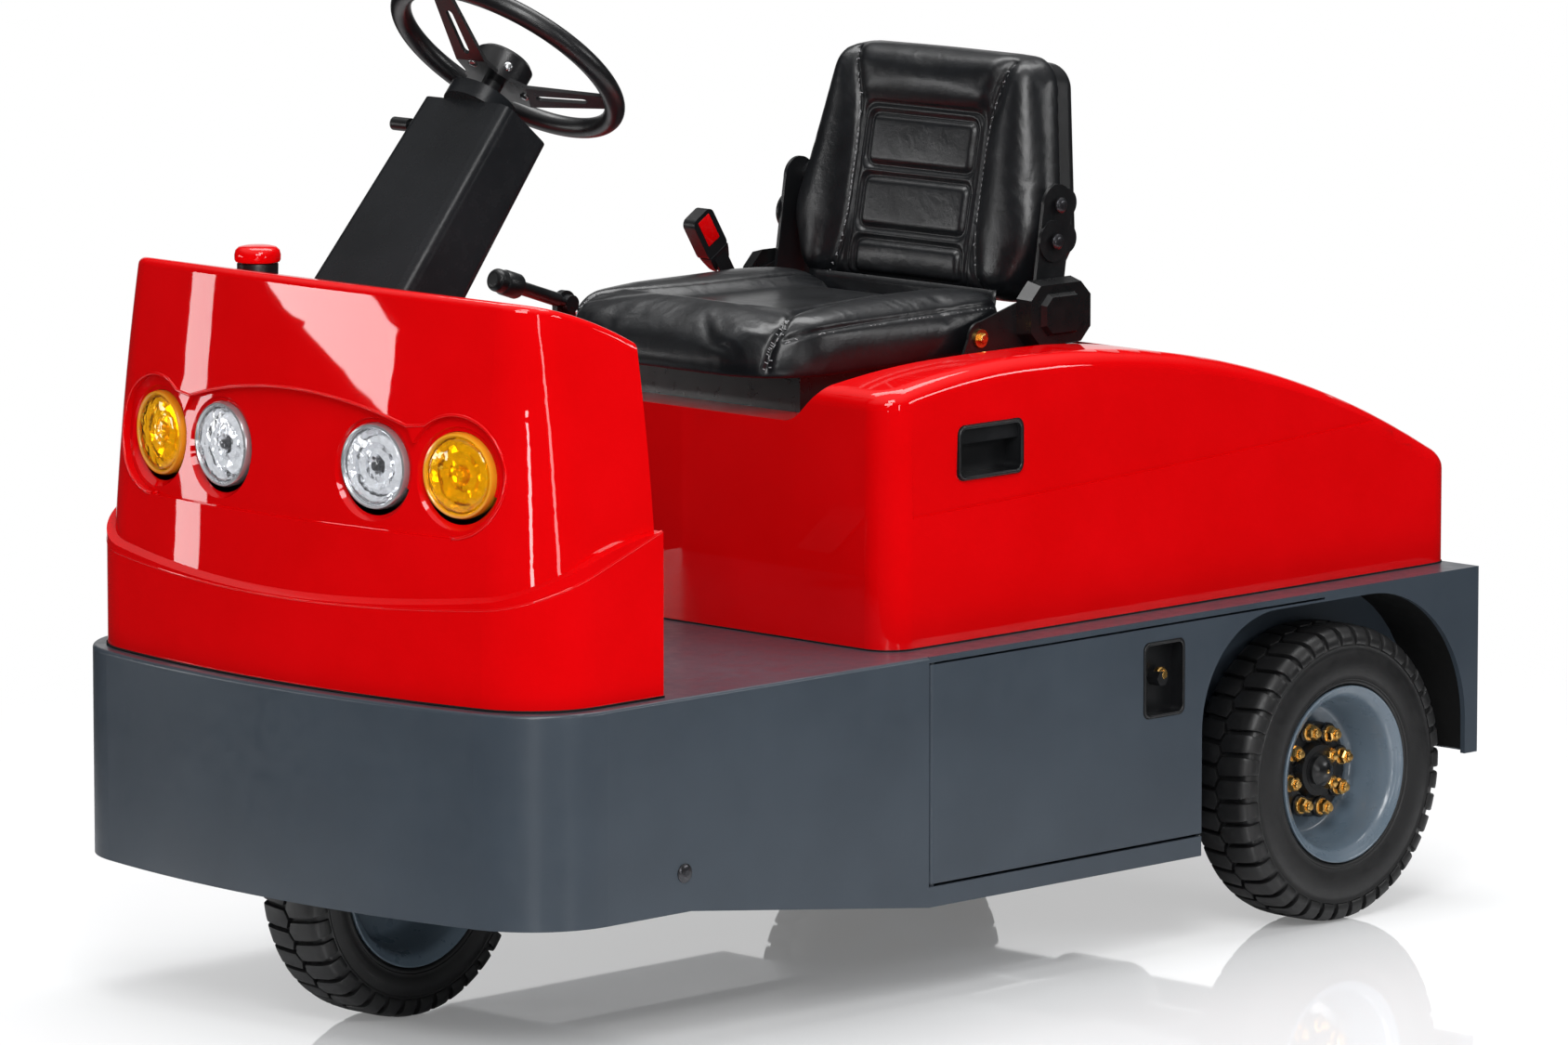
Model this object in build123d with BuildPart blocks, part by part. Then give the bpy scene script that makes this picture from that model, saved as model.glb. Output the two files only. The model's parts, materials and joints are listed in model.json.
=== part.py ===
"""Electric tow tractor with a seat, three wheels and a pin coupling at the rear."""

import os
from math import atan2, cos, radians, sin, sqrt

from build123d import *

os.makedirs("parts", exist_ok=True)

# Main frame
frame_length = 1856
coupling_reach = 84
half_width = 455
frame_top = 460
sill_bottom = 127
nose_bottom = 182
rear_bottom = 200
front_length = 757
slope_length = 440
nose_radius = 1733
nose_corner = 135
plate = 8
seam_gap = 4
strip_height = 27
strip_gap = 4
ledge_width = 120
edge_round = 5
cut_over = 20
seat_gap = 0.3
fit = 0.05

# Wheels
rear_radius = 205
front_radius = 190
tyre_width = 112
rim_radius = 112
rim_flange = 10
rim_wall = 5
wheel_proud = 15
rear_axle_from_rear = 289
front_axle_from_nose = 219
arch_front_reach = 279
arch_rear_reach = 263
arch_gap = 36
arch_corner = 150
hub_radius = 62
hub_length = 30
stud_circle = 44
stud_radius = 5
stud_count = 8
shaft_radius = 14
rim_width = 104
flange_width = 8
disc_depth = 80
disc_thickness = 8
tyre_crown = 2
tyre_shoulder = 14
front_sweep = 12

# Side doors
door_length = 775
door_skin = 3
door_return = 18
hinge_radius = 7
latch_width = 82
latch_height = 104
latch_depth = 24
latch_wall = 2.5
latch_from_joint = 324
latch_above_frame = 82
lock_radius = 11

# Cowl
cowl_inset = 20
cowl_step = 5
cowl_waist_inset = 20
cowl_waist_height = 290
cowl_waist_push = 5
cowl_top_inset = 60
cowl_top_push = 20
cowl_depth = 288
cowl_wall = 5
cowl_front_height = 523
cowl_middle_height = 503
cowl_rear_height = 452
cowl_middle_back = 160
cowl_top_round = 10
cowl_edge_round = 2
crease_front = 100
crease_middle = 160
crease_rear = 214
recess_depth = 9
recess_low = 213
recess_high = 378
recess_sag = 30
well_ring = 76
dip_half = 205
dip_round = 18

# Lamps
lamp_radius = 49
lamp_lip = 7
lamp_bowl = 34
lamp_proud = 6
lamp_dome = 10
lamp_mouth = 11
lamp_sink = 8
white_share = 0.3165
amber_share = 0.62
white_height = 292
amber_height = 292
white_splay = 5
amber_splay = 10

# Steering column and wheel
column_lean = 40
wheel_from_nose = 435
wheel_height = 1237
column_base_width = 182
column_base_depth = 108
column_top_width = 162
column_top_depth = 96
column_back = 20
column_top_drop = 88
column_length = 330
column_corner = 16
column_wall = 4
collar_radius = 48
collar_height = 22
steer_rim_radius = 157
steer_tube = 13.5
steer_hub_radius = 40
steer_hub_height = 40
spoke_root = 64
spoke_flank = 84
spoke_slot_length = 64
spoke_slot_width = 12
spoke_thickness = 5
spoke_sink = 42
spoke_turn = 30
slot_share = 0.6

# Hood and seat
hood_side = 55
hood_front_from_nose = 738
hood_overhang = 12
hood_wall = 6
hood_corner = 45
hood_round = 26
hood_front_rise = 338
hood_crest_rise = 366
hood_crest_back = 290
hood_mid_rise = 308
hood_mid_back = 724
hood_rear_rise = 142
well_rise = 290
well_half = 222
well_slope = 74
well_slope_rise = 70
well_lip = 64
well_lip_rise = 18
well_round = 45
well_length = 560
crease_low = 174
crease_end = 222
crease_depth = 4
crease_height = 120
crease_bow = 4
hood_hinge_radius = 8
cushion_half = 230
cushion_length = 470
cushion_overhang = 48
cushion_height = 88
cushion_corner = 95
cushion_round = 30
seat_base_height = 52
seat_pan_half = 172
seat_pan_front = 66
seat_pan_length = 394
back_half = 232
back_top_half = 180
back_height = 330
back_thickness = 66
back_shell_thickness = 40
back_lean = 11
back_from_front = 429
back_low = 412
back_bottom_half = 196
back_belly = 90
back_corner = 40
back_round = 24

# Places that follow from the sizes
nose_x = (frame_length + coupling_reach) / 2
rear_x = nose_x - frame_length
seam_x = nose_x - front_length
rear_axle_x = rear_x + rear_axle_from_rear
front_axle_x = nose_x - front_axle_from_nose
door_front_x = seam_x - seam_gap
joint_x = door_front_x - door_length
corner_y = half_width - nose_corner
corner_run = sqrt((nose_radius - nose_corner) ** 2 - corner_y**2)
corner_x = nose_x - nose_radius + corner_run
corner_turn = atan2(corner_y, corner_run)
wheel_outer_y = half_width + wheel_proud
wheel_inner_y = wheel_outer_y - tyre_width
rail_y = wheel_inner_y - 2 * plate
deck_under = frame_top - plate
cowl_rear_x = nose_x - cowl_depth
white_y = half_width * white_share
amber_y = half_width * amber_share
hood_front_x = nose_x - hood_front_from_nose
hood_rear_x = rear_x - hood_overhang
hood_half = half_width - hood_side


def nose_plan(inset, back_x):
    """Closed plan of the rounded nose, its two corners and straight sides."""
    corner = nose_corner - inset
    side = half_width - inset
    half_turn = (corner_turn + radians(90)) / 2
    joint = (corner_x + corner * cos(corner_turn), corner_y + corner * sin(corner_turn))
    middle = (corner_x + corner * cos(half_turn), corner_y + corner * sin(half_turn))
    with BuildSketch() as plan:
        with BuildLine():
            ThreePointArc((joint[0], -joint[1]), (nose_x - inset, 0), joint)
            ThreePointArc(joint, middle, (corner_x, side))
            Polyline((corner_x, side), (back_x, side), (back_x, -side), (corner_x, -side))
            ThreePointArc((corner_x, -side), (middle[0], -middle[1]), (joint[0], -joint[1]))
        make_face()
    return plan.sketch


# Front frame: skirt, deck and bulkhead round the steered wheel
kingpin_radius = 22
boss_radius = 48
boss_height = 34

with BuildPart() as front_frame:
    with BuildSketch(Plane.XY.offset(sill_bottom)):
        add(nose_plan(0, seam_x))
    extrude(amount=frame_top - sill_bottom)
    fillet(front_frame.edges().group_by(Axis.Z)[-1].sort_by(Axis.X)[1:], edge_round)
    with BuildSketch(Plane.XY.offset(sill_bottom)):
        add(nose_plan(plate, seam_x + plate))
    extrude(amount=deck_under - sill_bottom, mode=Mode.SUBTRACT)
    with BuildSketch(Plane.XZ):
        with BuildLine():
            Polyline(
                (seam_x, sill_bottom),
                (seam_x + slope_length, nose_bottom),
                (nose_x + cut_over, nose_bottom),
                (nose_x + cut_over, sill_bottom - cut_over),
                (seam_x, sill_bottom - cut_over),
                close=True,
            )
        make_face()
    extrude(amount=half_width + cut_over, both=True, mode=Mode.SUBTRACT)
    with BuildSketch(Plane.XY.offset(deck_under)):
        with Locations((front_axle_x, 0)):
            Circle(boss_radius)
    extrude(amount=-boss_height)
    with BuildSketch(Plane.XY.offset(deck_under - boss_height)):
        with Locations((front_axle_x, 0)):
            Circle(kingpin_radius + fit)
    extrude(amount=boss_height, mode=Mode.SUBTRACT)

# Main frame: rails, floor, sills, ledges and the rear plate with its arches
arch_front_x = rear_axle_x + arch_front_reach
arch_rear_x = rear_axle_x - arch_rear_reach
arch_top = frame_top - 14
arch_front_round = 150
arch_rear_round = 200
sill_top = sill_bottom + strip_height
rear_strip = 60
axle_slot = 130
axle_slot_top = 330
floor_back_gap = 19
floor_back_x = rear_axle_x + arch_front_reach - floor_back_gap
hinge_x = hood_rear_x - hood_hinge_radius
hinge_z = frame_top + hood_hinge_radius
hinge_y = 250
hinge_half = 60
hinge_knuckle = 20
hinge_pin = 4
pin_inset = 8
pin_radius = 4
pin_length = 14


def arch_profile():
    """Closed side profile of the wheel arch, cut below the frame."""
    with BuildSketch() as arch:
        with BuildLine():
            Polyline(
                (arch_front_x, sill_bottom - cut_over),
                (arch_front_x, arch_top),
                (arch_rear_x, arch_top),
                (arch_rear_x, sill_bottom - cut_over),
                close=True,
            )
        make_face()
        crown = arch.vertices().group_by(Axis.Y)[-1].sort_by(Axis.X)
        fillet(crown[-1], arch_front_round)
        crown = arch.vertices().group_by(Axis.Y)[-1].sort_by(Axis.X)
        fillet(crown[0], arch_rear_round)
    return arch.sketch


with BuildPart() as main_frame:
    with BuildSketch(Plane.XY.offset(deck_under)):
        with Locations(((rear_x + seam_x) / 2, 0)):
            Rectangle(seam_x - rear_x, 2 * half_width)
        with Locations(((rear_x + rear_strip + seam_x) / 2, 0)):
            Rectangle(seam_x - rear_x - rear_strip, 2 * (half_width - ledge_width), mode=Mode.SUBTRACT)
    extrude(amount=plate)
    # Side panel behind the door, with the rear half of the arch
    with BuildSketch(Plane.XZ.offset(-half_width)):
        with Locations(((rear_x + joint_x) / 2, (rear_bottom + frame_top) / 2)):
            Rectangle(joint_x - rear_x, frame_top - rear_bottom)
        add(arch_profile(), mode=Mode.SUBTRACT)
    extrude(amount=plate)
    # Upper pivot pin of the door
    with BuildSketch(Plane.XY.offset(deck_under)):
        with Locations((door_front_x - pin_inset, half_width - pin_inset)):
            Circle(pin_radius)
    extrude(amount=-pin_length)
    mirror(about=Plane.XZ)
    # Rear plate with the fixed knuckles and pins of the hood's hinges
    with BuildSketch(Plane.YZ.offset(rear_x)):
        with Locations((0, (rear_bottom + frame_top) / 2)):
            Rectangle(2 * half_width, frame_top - rear_bottom)
    extrude(amount=plate)
    for y in (hinge_y, -hinge_y):
        with BuildSketch(Plane.XZ.offset(-y)):
            with Locations((hinge_x, hinge_z)):
                Circle(hood_hinge_radius)
                Rectangle(2 * hood_hinge_radius, 4 * hood_hinge_radius, align=(Align.CENTER, Align.MAX))
            with Locations((rear_x, frame_top)):
                Rectangle(
                    rear_x - hinge_x + hood_hinge_radius,
                    3 * hood_hinge_radius,
                    align=(Align.MAX, Align.MAX),
                )
        extrude(amount=hinge_half - hinge_knuckle - seat_gap, both=True)
        with BuildSketch(Plane.XZ.offset(-y)):
            with Locations((hinge_x, hinge_z)):
                Circle(hinge_pin)
        extrude(amount=hinge_half, both=True)

# Side frame: rail, battery ledge, door sill and the front wall of the wheel well
battery_ledge = 90
with BuildPart() as side_frame_left:
    with BuildSketch(Plane.XZ.offset(-rail_y - plate)):
        with Locations(((rear_x + plate + seam_x) / 2, (sill_bottom + deck_under) / 2)):
            Rectangle(seam_x - rear_x - plate, deck_under - sill_bottom)
        with Locations((rear_axle_x, (sill_bottom + axle_slot_top) / 2)):
            Rectangle(2 * axle_slot, axle_slot_top - sill_bottom, mode=Mode.SUBTRACT)
        with Locations((rear_x, sill_bottom)):
            Rectangle(2 * (rear_axle_from_rear - axle_slot), 2 * (rear_bottom - sill_bottom), mode=Mode.SUBTRACT)
    extrude(amount=plate)
    with BuildSketch(Plane.XZ.offset(-half_width)):
        with Locations(((arch_front_x + seam_x) / 2, (sill_bottom + sill_top) / 2)):
            Rectangle(seam_x - arch_front_x, strip_height)
    extrude(amount=plate)
    with BuildSketch(Plane.XY.offset(sill_bottom)):
        with Locations(((arch_front_x + seam_x) / 2, (rail_y + half_width) / 2)):
            Rectangle(seam_x - arch_front_x, half_width - rail_y)
        with Locations(((floor_back_x + seam_x) / 2, rail_y - battery_ledge / 2)):
            Rectangle(seam_x - floor_back_x, battery_ledge)
    extrude(amount=plate)
    with BuildSketch(Plane.YZ.offset(arch_front_x)):
        with Locations(((rail_y + half_width - door_return - seam_gap) / 2, (sill_bottom + deck_under) / 2)):
            Rectangle(half_width - door_return - seam_gap - rail_y, deck_under - sill_bottom)
    extrude(amount=plate)
    # Lower pivot pin of the door on its boss
    with BuildSketch(Plane.XY.offset(sill_top)):
        with Locations((door_front_x - pin_inset, half_width - pin_inset)):
            Circle(pin_radius)
    extrude(amount=pin_length)
    with BuildSketch(Plane.XY.offset(sill_bottom)):
        with Locations((door_front_x - pin_inset, half_width - pin_inset)):
            Circle(2 * pin_radius)
    extrude(amount=strip_height)

with BuildPart() as side_frame_right:
    add(mirror(side_frame_left.part, about=Plane.XZ, mode=Mode.PRIVATE))


# Side doors with their latches
door_gap = 3
door_bottom = sill_top + strip_gap
door_top = deck_under - door_gap
door_edge = 6
post_width = 2 * pin_inset
post_height = pin_length + door_gap
latch_x = joint_x + latch_from_joint
latch_z = frame_top - latch_above_frame
latch_corner = 10


def door_profile(inset):
    """Closed side profile of the door with the front half of the arch cut out."""
    with BuildSketch() as profile:
        with Locations(((joint_x + door_front_x) / 2, (door_bottom + door_top) / 2)):
            Rectangle(door_length - 2 * inset, door_top - door_bottom - 2 * inset)
        add(offset(arch_profile(), amount=inset, mode=Mode.PRIVATE), mode=Mode.SUBTRACT)
    return profile.sketch


with BuildPart() as door_left:
    with BuildSketch(Plane.XZ.offset(-half_width)):
        add(door_profile(0))
    extrude(amount=door_return)
    fillet(door_left.edges().filter_by(Axis.Z).group_by(Axis.X)[-1].sort_by(Axis.Y)[-1], door_edge)
    with BuildSketch(Plane.XZ.offset(-half_width + door_skin)):
        add(door_profile(door_skin))
    extrude(amount=door_return, mode=Mode.SUBTRACT)
    with BuildSketch(Plane.XY.offset(door_bottom)):
        with Locations((door_front_x - post_width / 2, half_width - door_skin - post_width / 2)):
            Rectangle(post_width, post_width)
    extrude(amount=post_height)
    with BuildSketch(Plane.XY.offset(door_top)):
        with Locations((door_front_x - post_width / 2, half_width - door_skin - post_width / 2)):
            Rectangle(post_width, post_width)
    extrude(amount=-post_height)
    with BuildSketch(Plane.XY.offset(door_bottom)):
        with Locations((door_front_x - pin_inset, half_width - pin_inset)):
            Circle(pin_radius + fit)
    extrude(amount=door_top - door_bottom, mode=Mode.SUBTRACT)
    with BuildSketch(Plane.XZ.offset(-half_width)):
        with Locations((latch_x, latch_z)):
            RectangleRounded(latch_width, latch_height, latch_corner)
    extrude(amount=door_skin, mode=Mode.SUBTRACT)

with BuildPart() as latch_left:
    with BuildSketch(Plane.XZ.offset(-half_width)):
        with Locations((latch_x, latch_z)):
            RectangleRounded(latch_width, latch_height, latch_corner)
    extrude(amount=latch_depth)
    with BuildSketch(Plane.XZ.offset(-half_width)):
        with Locations((latch_x, latch_z)):
            RectangleRounded(latch_width, latch_height, latch_corner)
            offset(amount=-latch_wall)
    extrude(amount=latch_depth - latch_wall, mode=Mode.SUBTRACT)
    with BuildSketch(Plane.XZ.offset(-half_width + latch_depth)):
        with Locations((latch_x, latch_z)):
            RegularPolygon(lock_radius, 6)
    extrude(amount=-latch_depth + latch_wall)

with BuildPart() as door_right:
    add(mirror(door_left.part, about=Plane.XZ, mode=Mode.PRIVATE))

with BuildPart() as latch_right:
    add(mirror(latch_left.part, about=Plane.XZ, mode=Mode.PRIVATE))


# Wheels: rim, tyre and hub, drawn inwards from the outer face
def wheel_plane(axle_x, outer_y, height, side):
    """Plane of a wheel's half section: x runs inboard and y runs outwards from the axle."""
    return Plane((axle_x, outer_y, height), x_dir=(0, -side, 0), z_dir=(-side, 0, 0))


def rim_section():
    """Half section of the rim from its outer flange to its inner one."""
    edge = (tyre_width - rim_width) / 2
    lip = rim_radius + rim_flange
    far = tyre_width - edge
    with BuildSketch() as section:
        with BuildLine():
            Polyline(
                (edge, lip),
                (edge + flange_width - rim_wall / 2, lip),
                (edge + flange_width, rim_radius),
                (far - flange_width, rim_radius),
                (far - flange_width + rim_wall / 2, lip),
                (far, lip),
                (far, lip - rim_wall),
                (far - flange_width, rim_radius - rim_wall),
                (disc_depth + disc_thickness, rim_radius - rim_flange),
                (disc_depth + disc_thickness, shaft_radius + fit),
                (disc_depth, shaft_radius + fit),
                (disc_depth, rim_radius - 2 * rim_flange),
                (disc_depth - rim_wall, rim_radius - rim_flange - rim_wall),
                (edge + 2 * rim_wall, rim_radius - rim_wall),
                (edge, lip - rim_wall),
                close=True,
            )
        make_face()
    return section.sketch


def tyre_section(radius):
    """Half section of the tyre with its beads, round walls and slightly domed tread."""
    bead_in = (tyre_width - rim_width) / 2 + flange_width + seat_gap
    bead = rim_radius + seat_gap
    lip = rim_radius + rim_flange + seat_gap
    wall = (lip + radius) / 2
    with BuildSketch() as section:
        with BuildLine():
            Polyline((tyre_width / 2, bead), (bead_in, bead), (bead_in, lip), (rim_wall, lip + rim_wall))
            ThreePointArc((rim_wall, lip + rim_wall), (0, wall), (rim_wall, radius - tyre_shoulder))
            ThreePointArc(
                (rim_wall, radius - tyre_shoulder),
                (rim_wall + tyre_crown, radius - tyre_shoulder / 2),
                (tyre_shoulder, radius - tyre_crown),
            )
            Line((tyre_shoulder, radius - tyre_crown), (tyre_width / 2, radius))
            Line((tyre_width / 2, radius), (tyre_width / 2, bead))
        make_face()
        mirror(about=Plane((tyre_width / 2, 0, 0), z_dir=(1, 0, 0)))
    return section.sketch


def hub_section():
    """Half section of the hub that clamps the rim's disc."""
    with BuildSketch() as section:
        with BuildLine():
            Polyline(
                (disc_depth - seat_gap, shaft_radius + fit),
                (disc_depth - seat_gap, hub_radius),
                (disc_depth - hub_length / 2, hub_radius),
                (disc_depth - hub_length / 2, hub_radius / 2),
                (disc_depth - hub_length, hub_radius / 2 - rim_wall),
                (disc_depth - hub_length, shaft_radius + fit),
                close=True,
            )
        make_face()
    return section.sketch


rear_wheel = {}
for name, side in (("left", 1), ("right", -1)):
    plane = wheel_plane(rear_axle_x, side * wheel_outer_y, rear_radius, side)
    axle = Axis(plane.origin, (0, 1, 0))
    for piece, section in (("rim", rim_section()), ("tyre", tyre_section(rear_radius)), ("hub", hub_section())):
        with BuildPart() as turned:
            with BuildSketch(plane):
                add(section)
            revolve(axis=axle)
        rear_wheel[f"rear_{piece}_{name}"] = turned

front_wheel = {}
plane = wheel_plane(front_axle_x, tyre_width / 2, front_radius, 1)
axle = Axis(plane.origin, (0, 1, 0))
for piece, section in (("rim", rim_section()), ("tyre", tyre_section(front_radius)), ("hub", hub_section())):
    with BuildPart() as turned:
        with BuildSketch(plane):
            add(section)
        revolve(axis=axle)
    front_wheel[f"front_{piece}"] = turned

# Steering fork with its kingpin and axle
fork_gap = 14
fork_plate = 12
fork_y = tyre_width / 2 + fork_gap
fork_top = deck_under - boss_height - seat_gap
fork_crown = 24
fork_width = 90
with BuildPart() as steer_fork:
    with BuildSketch(Plane.XY.offset(fork_top)):
        with Locations((front_axle_x, 0)):
            Circle(kingpin_radius)
    extrude(amount=boss_height - plate)
    with BuildSketch(Plane.YZ.offset(front_axle_x)):
        with Locations((0, fork_top - fork_crown / 2)):
            Rectangle(2 * (fork_y + fork_plate), fork_crown)
    extrude(amount=fork_width / 2, both=True)
    for side in (1, -1):
        with BuildSketch(Plane.XZ.offset(-side * (fork_y + fork_plate / 2))):
            with Locations((front_axle_x, (fork_top + front_radius) / 2)):
                Rectangle(fork_width, fork_top - front_radius)
            with Locations((front_axle_x, front_radius)):
                Circle(fork_width / 2)
        extrude(amount=fork_plate / 2, both=True)
    with BuildSketch(Plane.XZ.offset(-fork_y - fork_plate)):
        with Locations((front_axle_x, front_radius)):
            Circle(shaft_radius)
    extrude(amount=2 * (fork_y + fork_plate))

# Drive axle, leaf springs and battery
axle_tube = 42
axle_flange = 70
axle_flange_width = 10
axle_end = 4
case_radius = 92
case_half = 95
motor_radius = 74
motor_length = 250
spring_inset = 38
spring_width = 50
spring_reach = 235
spring_leaf = 7
spring_leaves = 4
spring_seat = 14
spring_rise = 38
hanger_width = 36
hanger_height = 40
battery_length = 520
battery_side_gap = 33
battery_height = 460
battery_front_gap = 30

battery_half = rail_y - battery_side_gap
spring_y = rail_y - spring_inset

flange_y = wheel_outer_y - disc_depth - disc_thickness - axle_end
spring_bottom = rear_radius + axle_tube + spring_seat
spring_top = spring_bottom + spring_leaves * spring_leaf
with BuildPart() as drive_axle:
    with BuildSketch(Plane((rear_axle_x, 0, rear_radius), x_dir=(0, 1, 0), z_dir=(1, 0, 0))):
        with BuildLine():
            Polyline(
                (0, 0),
                (0, case_radius),
                (case_half / 2, case_radius),
                (case_half, axle_tube),
                (flange_y - axle_flange_width, axle_tube),
                (flange_y - axle_flange_width, axle_flange),
                (flange_y, axle_flange),
                (flange_y, shaft_radius),
                (wheel_outer_y - disc_depth + hub_length - seat_gap, shaft_radius),
                (wheel_outer_y - disc_depth + hub_length - seat_gap, 0),
                close=True,
            )
        make_face()
    revolve(axis=Axis((rear_axle_x, 0, rear_radius), (0, 1, 0)))
    mirror(about=Plane.XZ)
    with BuildSketch(Plane.YZ.offset(rear_axle_x)):
        with Locations((0, rear_radius)):
            Circle(motor_radius)
    extrude(amount=motor_length)
    with BuildSketch(Plane.XY.offset(rear_radius)):
        with Locations((rear_axle_x, spring_y), (rear_axle_x, -spring_y)):
            Rectangle(spring_width, spring_width)
    extrude(amount=axle_tube + spring_seat + spring_leaf)
    # Leaf springs on the pads, each leaf longer than the one below
    for y in (spring_y, -spring_y):
        with BuildSketch(Plane.XZ.offset(-y)):
            for leaf in range(spring_leaves):
                reach = spring_reach * (leaf + 1) / spring_leaves
                rise = spring_rise * ((leaf + 1) / spring_leaves) ** 2
                low = spring_bottom + leaf * spring_leaf
                with BuildLine():
                    ThreePointArc(
                        (rear_axle_x - reach, low + rise),
                        (rear_axle_x, low),
                        (rear_axle_x + reach, low + rise),
                    )
                    Line((rear_axle_x + reach, low + rise), (rear_axle_x + reach, low + rise + spring_leaf))
                    ThreePointArc(
                        (rear_axle_x + reach, low + rise + spring_leaf),
                        (rear_axle_x, low + spring_leaf),
                        (rear_axle_x - reach, low + rise + spring_leaf),
                    )
                    Line((rear_axle_x - reach, low + rise + spring_leaf), (rear_axle_x - reach, low + rise))
                make_face()
        extrude(amount=spring_width / 2, both=True)
    # Hangers reach out to the rails from both ends of the top leaves
    with BuildSketch(Plane.XY.offset(spring_top + spring_rise - spring_leaf)):
        for side in (1, -1):
            hanger_y = side * (rail_y + spring_y - spring_width / 2) / 2
            for end in (1, -1):
                with Locations((rear_axle_x + end * spring_reach, hanger_y)):
                    Rectangle(hanger_width, rail_y - spring_y + spring_width / 2)
    extrude(amount=hanger_height)

battery_front_x = seam_x - battery_front_gap
with BuildPart() as battery:
    with BuildSketch(Plane.XY.offset(sill_bottom + plate)):
        with Locations((battery_front_x - battery_length / 2, 0)):
            Rectangle(battery_length, 2 * battery_half)
    extrude(amount=battery_height)
    chamfer(battery.edges().group_by(Axis.Z)[-1], edge_round)

# Cowl: a leaning shell over a prouder lower band, with a sunk lamp panel
cowl_top_front = frame_top + cowl_front_height
cowl_top_rear = frame_top + cowl_rear_height


def cowl_side(drop, floor):
    """Side profile under the cowl's arched top, lowered by a drop, down to a floor."""
    run_x = cowl_rear_x - cut_over
    run_z = cowl_top_rear - cut_over / 2
    with BuildSketch() as profile:
        with BuildLine():
            Line((run_x, run_z - drop), (cowl_rear_x, cowl_top_rear - drop))
            ThreePointArc(
                (cowl_rear_x, cowl_top_rear - drop),
                (nose_x - cowl_middle_back, frame_top + cowl_middle_height - drop),
                (nose_x, cowl_top_front - drop),
            )
            Polyline((nose_x, cowl_top_front - drop), (nose_x, floor), (run_x, floor), (run_x, run_z - drop))
        make_face()
    return profile.sketch


def cowl_core(inset, drop, round_top):
    """Upper body of the cowl, drawn in towards its top, set in by a wall and lowered by a drop."""
    top_z = cowl_front_height + cut_over
    with BuildPart() as core:
        for height, more, push in (
            (0, 0, 0),
            (cowl_waist_height, cowl_waist_inset, cowl_waist_push),
            (top_z, cowl_top_inset, cowl_top_push),
        ):
            with BuildSketch(Plane((push, 0, frame_top + height))):
                add(nose_plan(inset + more, cowl_rear_x - cowl_depth / 2))
        loft()
        with BuildSketch(Plane.XZ):
            add(cowl_side(drop, frame_top))
        extrude(amount=half_width, both=True, mode=Mode.INTERSECT)
        split(bisect_by=Plane.YZ.offset(cowl_rear_x), keep=Keep.TOP)
        if round_top:
            rim = core.edges().filter_by(lambda edge: edge.center().Z > frame_top + cowl_rear_height - cut_over)
            fillet(rim.sort_by(Axis.X)[1:], round_top)
    return core.part


def recess_prism(grow):
    """Prism of the lamp panel's outline, arched on top and round at both ends."""
    low = frame_top + recess_low - grow
    high = frame_top + recess_high + grow
    dip_y = half_width * dip_half / half_width
    with BuildPart() as prism:
        with BuildSketch(Plane.YZ.offset(cowl_rear_x + cowl_depth / 2)):
            with BuildLine():
                ThreePointArc((-dip_y, high - recess_sag), (0, high), (dip_y, high - recess_sag))
                Polyline((dip_y, high - recess_sag), (amber_y, low), (-amber_y, low), (-dip_y, high - recess_sag))
            make_face()
            with Locations((amber_y, frame_top + amber_height), (-amber_y, frame_top + amber_height)):
                Circle(well_ring + grow)
        extrude(amount=cowl_depth)
    return prism.part


cowl_band = cowl_inset
cowl_upper = cowl_inset + cowl_step
cowl_skin = cowl_core(cowl_upper - 1, -1, 0) - cowl_core(cowl_upper + recess_depth, recess_depth, 0)
recess_cut = cowl_skin & recess_prism(0)
cowl_void = cowl_core(cowl_upper + cowl_wall, cowl_wall, 0)
recess_back = cowl_void - cowl_core(cowl_upper + 2 * recess_depth, cowl_wall, 0)
recess_back = recess_back & recess_prism(cowl_wall)


def lamp_place(y, height, splay):
    """Centre of a lamp's face on the cowl and the way it looks."""
    share = height / cowl_waist_height
    inset = cowl_upper + (cowl_waist_inset - cowl_waist_push) * share
    front_x = nose_x - nose_radius + sqrt((nose_radius - inset) ** 2 - y**2) - recess_depth
    turn = radians(splay if y > 0 else -splay)
    return Vector(front_x, y, frame_top + height), Vector(cos(turn), sin(turn), 0)


lamp_outer = lamp_radius + lamp_lip
dome_radius = (lamp_radius**2 + lamp_dome**2) / (2 * lamp_dome)
dome_mid = lamp_dome - dome_radius + sqrt(dome_radius**2 - (lamp_radius / 2) ** 2)
lamp_rows = (
    ("lamp_white_left", white_y, white_height, white_splay),
    ("lamp_white_right", -white_y, white_height, white_splay),
    ("lamp_amber_left", amber_y, amber_height, amber_splay),
    ("lamp_amber_right", -amber_y, amber_height, amber_splay),
)

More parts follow.
